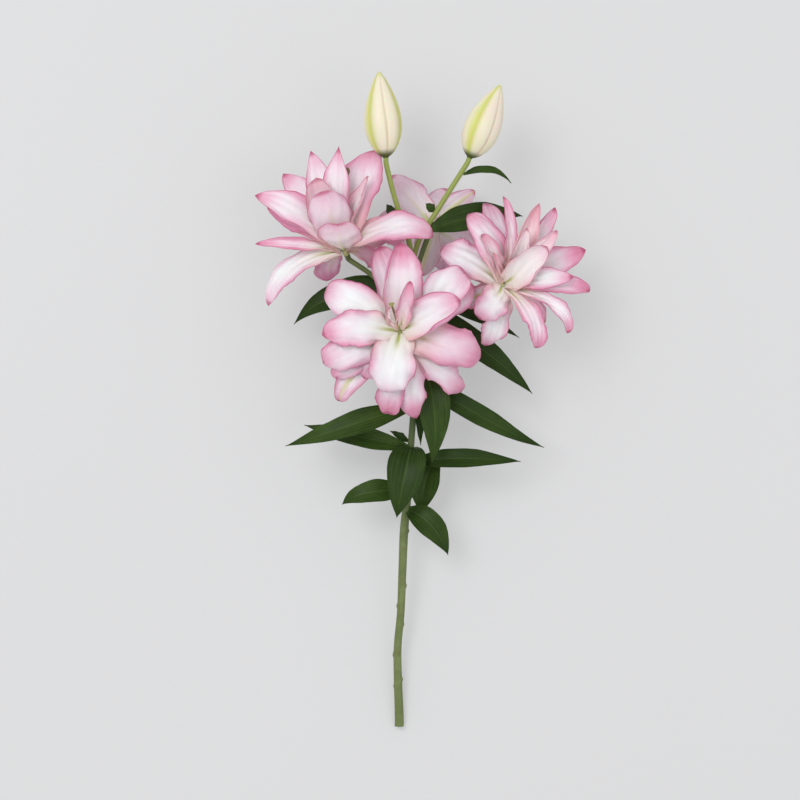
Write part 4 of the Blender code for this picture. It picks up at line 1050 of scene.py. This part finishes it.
def make_bud(name, finish):
    """A bud: rings about its axis, three broad segments with a groove down the rib at the middle of each, and
    a seam pressed in between two of them. Ribs and seams are powers of half a cosine of three times the way
    round, turned a little along the bud. The rings stand closer together towards both ends."""
    base, tip, radius = BUDS[name]
    base, tip = np.array(base, float), np.array(tip, float)
    rows, sides = BUD_GRID
    axis = unit(tip - base)
    across = unit(np.cross(axis, (0.0, 0.0, 1.0)))
    over = np.cross(across, axis)
    s = (0.5 - 0.5 * np.cos(np.pi * np.linspace(0.0, BUD_END, rows)))[:, None]
    angle = circle(sides)[None, :]
    turn = 3 * (angle - np.radians(BUD_TURN[name])) + BUD_TWIST * s
    rib, seam = 0.5 + 0.5 * np.cos(turn), 0.5 - 0.5 * np.cos(turn)
    pressed = sum(depth * rib**power for depth, power in BUD_RIBS)
    pressed = pressed + sum(depth * seam**power for depth, power in BUD_SEAMS)
    skin = bud_profile(s) * (1 - pressed)
    spokes = np.cos(angle)[..., None] * over + np.sin(angle)[..., None] * across
    rings = base + s[..., None] * (tip - base) + radius * skin[..., None] * spokes
    surface = Surface()
    rib_power, seam_power, seam_fade = BUD_MARKS
    add_tube(surface, rings, along=s, rib=rib**rib_power, seam=seam**seam_power * (1 - seam_fade * s),
             beside=np.sin(angle), above=np.cos(angle))
    surface.piece(name, finish)


def make_pistil(name, finish):
    """A pistil: a grooved ovary, a style that thickens towards its end, and a stigma, whose radius is a flat
    circle's height times three lobes and a crease at its end between each two."""
    bloom, direction, ovary, length, radius = PISTILS[name]
    axis = unit(direction)
    start = heart_of(BLOOMS[bloom])
    rows, sides = STYLE_GRID
    steps = np.linspace(0, 1, rows)[:, None]
    place = steps * length
    angle = circle(sides)[None, :]
    grown, before, after, swelling = PISTIL_BLENDS
    places = (0, grown, ovary + before, ovary + after, length + swelling, length)
    widths = (PISTIL_ENDS[0], OVARY_RADIUS, OVARY_RADIUS, radius, radius, PISTIL_ENDS[1])
    grooves = 1 + OVARY_GROOVES[0] * np.cos(OVARY_GROOVES[1] * angle) * (place < ovary)
    thick = np.interp(place, places, widths) * grooves
    surface = Surface()
    add_tube(surface, round_rings(start + place * axis, thick, sides), along=0.8 * steps)
    knob = np.linspace(-1, 1, STIGMA_ROWS)[:, None]
    half_length, stigma, shade = STIGMA[name]
    sunk, lobe, depth, narrow, shading = STIGMA_FORM
    line = start + (length + half_length * (knob - sunk)) * axis
    lobes = 1 + lobe * np.cos(3 * angle)
    crease = 1 - depth * np.clip(knob, 0, 1) * (0.5 - 0.5 * np.cos(3 * angle)) ** narrow
    swell = stigma * np.sqrt(BLUNT_END - knob**2) * lobes * crease
    add_tube(surface, round_rings(line, swell, sides), along=shade + shading * knob)
    surface.piece(name, finish)


# ---- Floor, light and camera ----


def make_floor():
    """A plain pale floor that reaches well past the view."""
    mesh = bpy.data.meshes.new("floor")
    corners = [(x * FLOOR_REACH, y * FLOOR_REACH, 0) for x, y in ((-1, -1), (1, -1), (1, 1), (-1, 1))]
    mesh.from_pydata(corners, [], [(0, 1, 2, 3)])
    mesh.materials.append(floor_finish())
    floor = placed("floor", mesh)


def make_light():
    """An even white sky and two large soft lamps, the stronger at the upper left."""
    world = bpy.data.worlds.new("studio")
    world.use_nodes = True
    background = world.node_tree.nodes["Background"]
    background.inputs["Color"].default_value = WHITE
    background.inputs["Strength"].default_value = SKY
    bpy.context.scene.world = world
    for place, size, power in LAMPS:
        lamp = bpy.data.lights.new("lamp", "AREA")
        lamp.size = size
        lamp.energy = power
        holder = placed("lamp", lamp)
        holder.location = place
        holder.rotation_euler = (Vector(AIM) - Vector(place)).to_track_quat("-Z", "Y").to_euler()


def make_camera():
    """A long lens straight above the plant, looking down."""
    camera = bpy.data.cameras.new("camera")
    camera.sensor_width = SENSOR_WIDTH
    camera.lens = SENSOR_WIDTH * CAMERA_RISE / VIEW_WIDTH
    holder = placed("camera", camera)
    across, along, rise = VIEW_CENTRE
    holder.location = (across - FOOT[0] * MM, along - FOOT[1] * MM, CAMERA_RISE + rise)
    bpy.context.scene.camera = holder
    bpy.context.scene.view_settings.view_transform = "Standard"


def main():
    """Builds every piece, the stage, the light and the camera."""
    make_stem(stem_finish())
    make_leaves(leaf_finish())
    for make, finish, names in (
        (make_bloom, petal_finish(), BLOOMS),
        (make_pistil, pistil_finish(), PISTILS),
        (make_bud, bud_finish(), BUDS),
    ):
        for name in names:
            make(name, finish)
    make_floor()
    make_light()
    make_camera()


main()
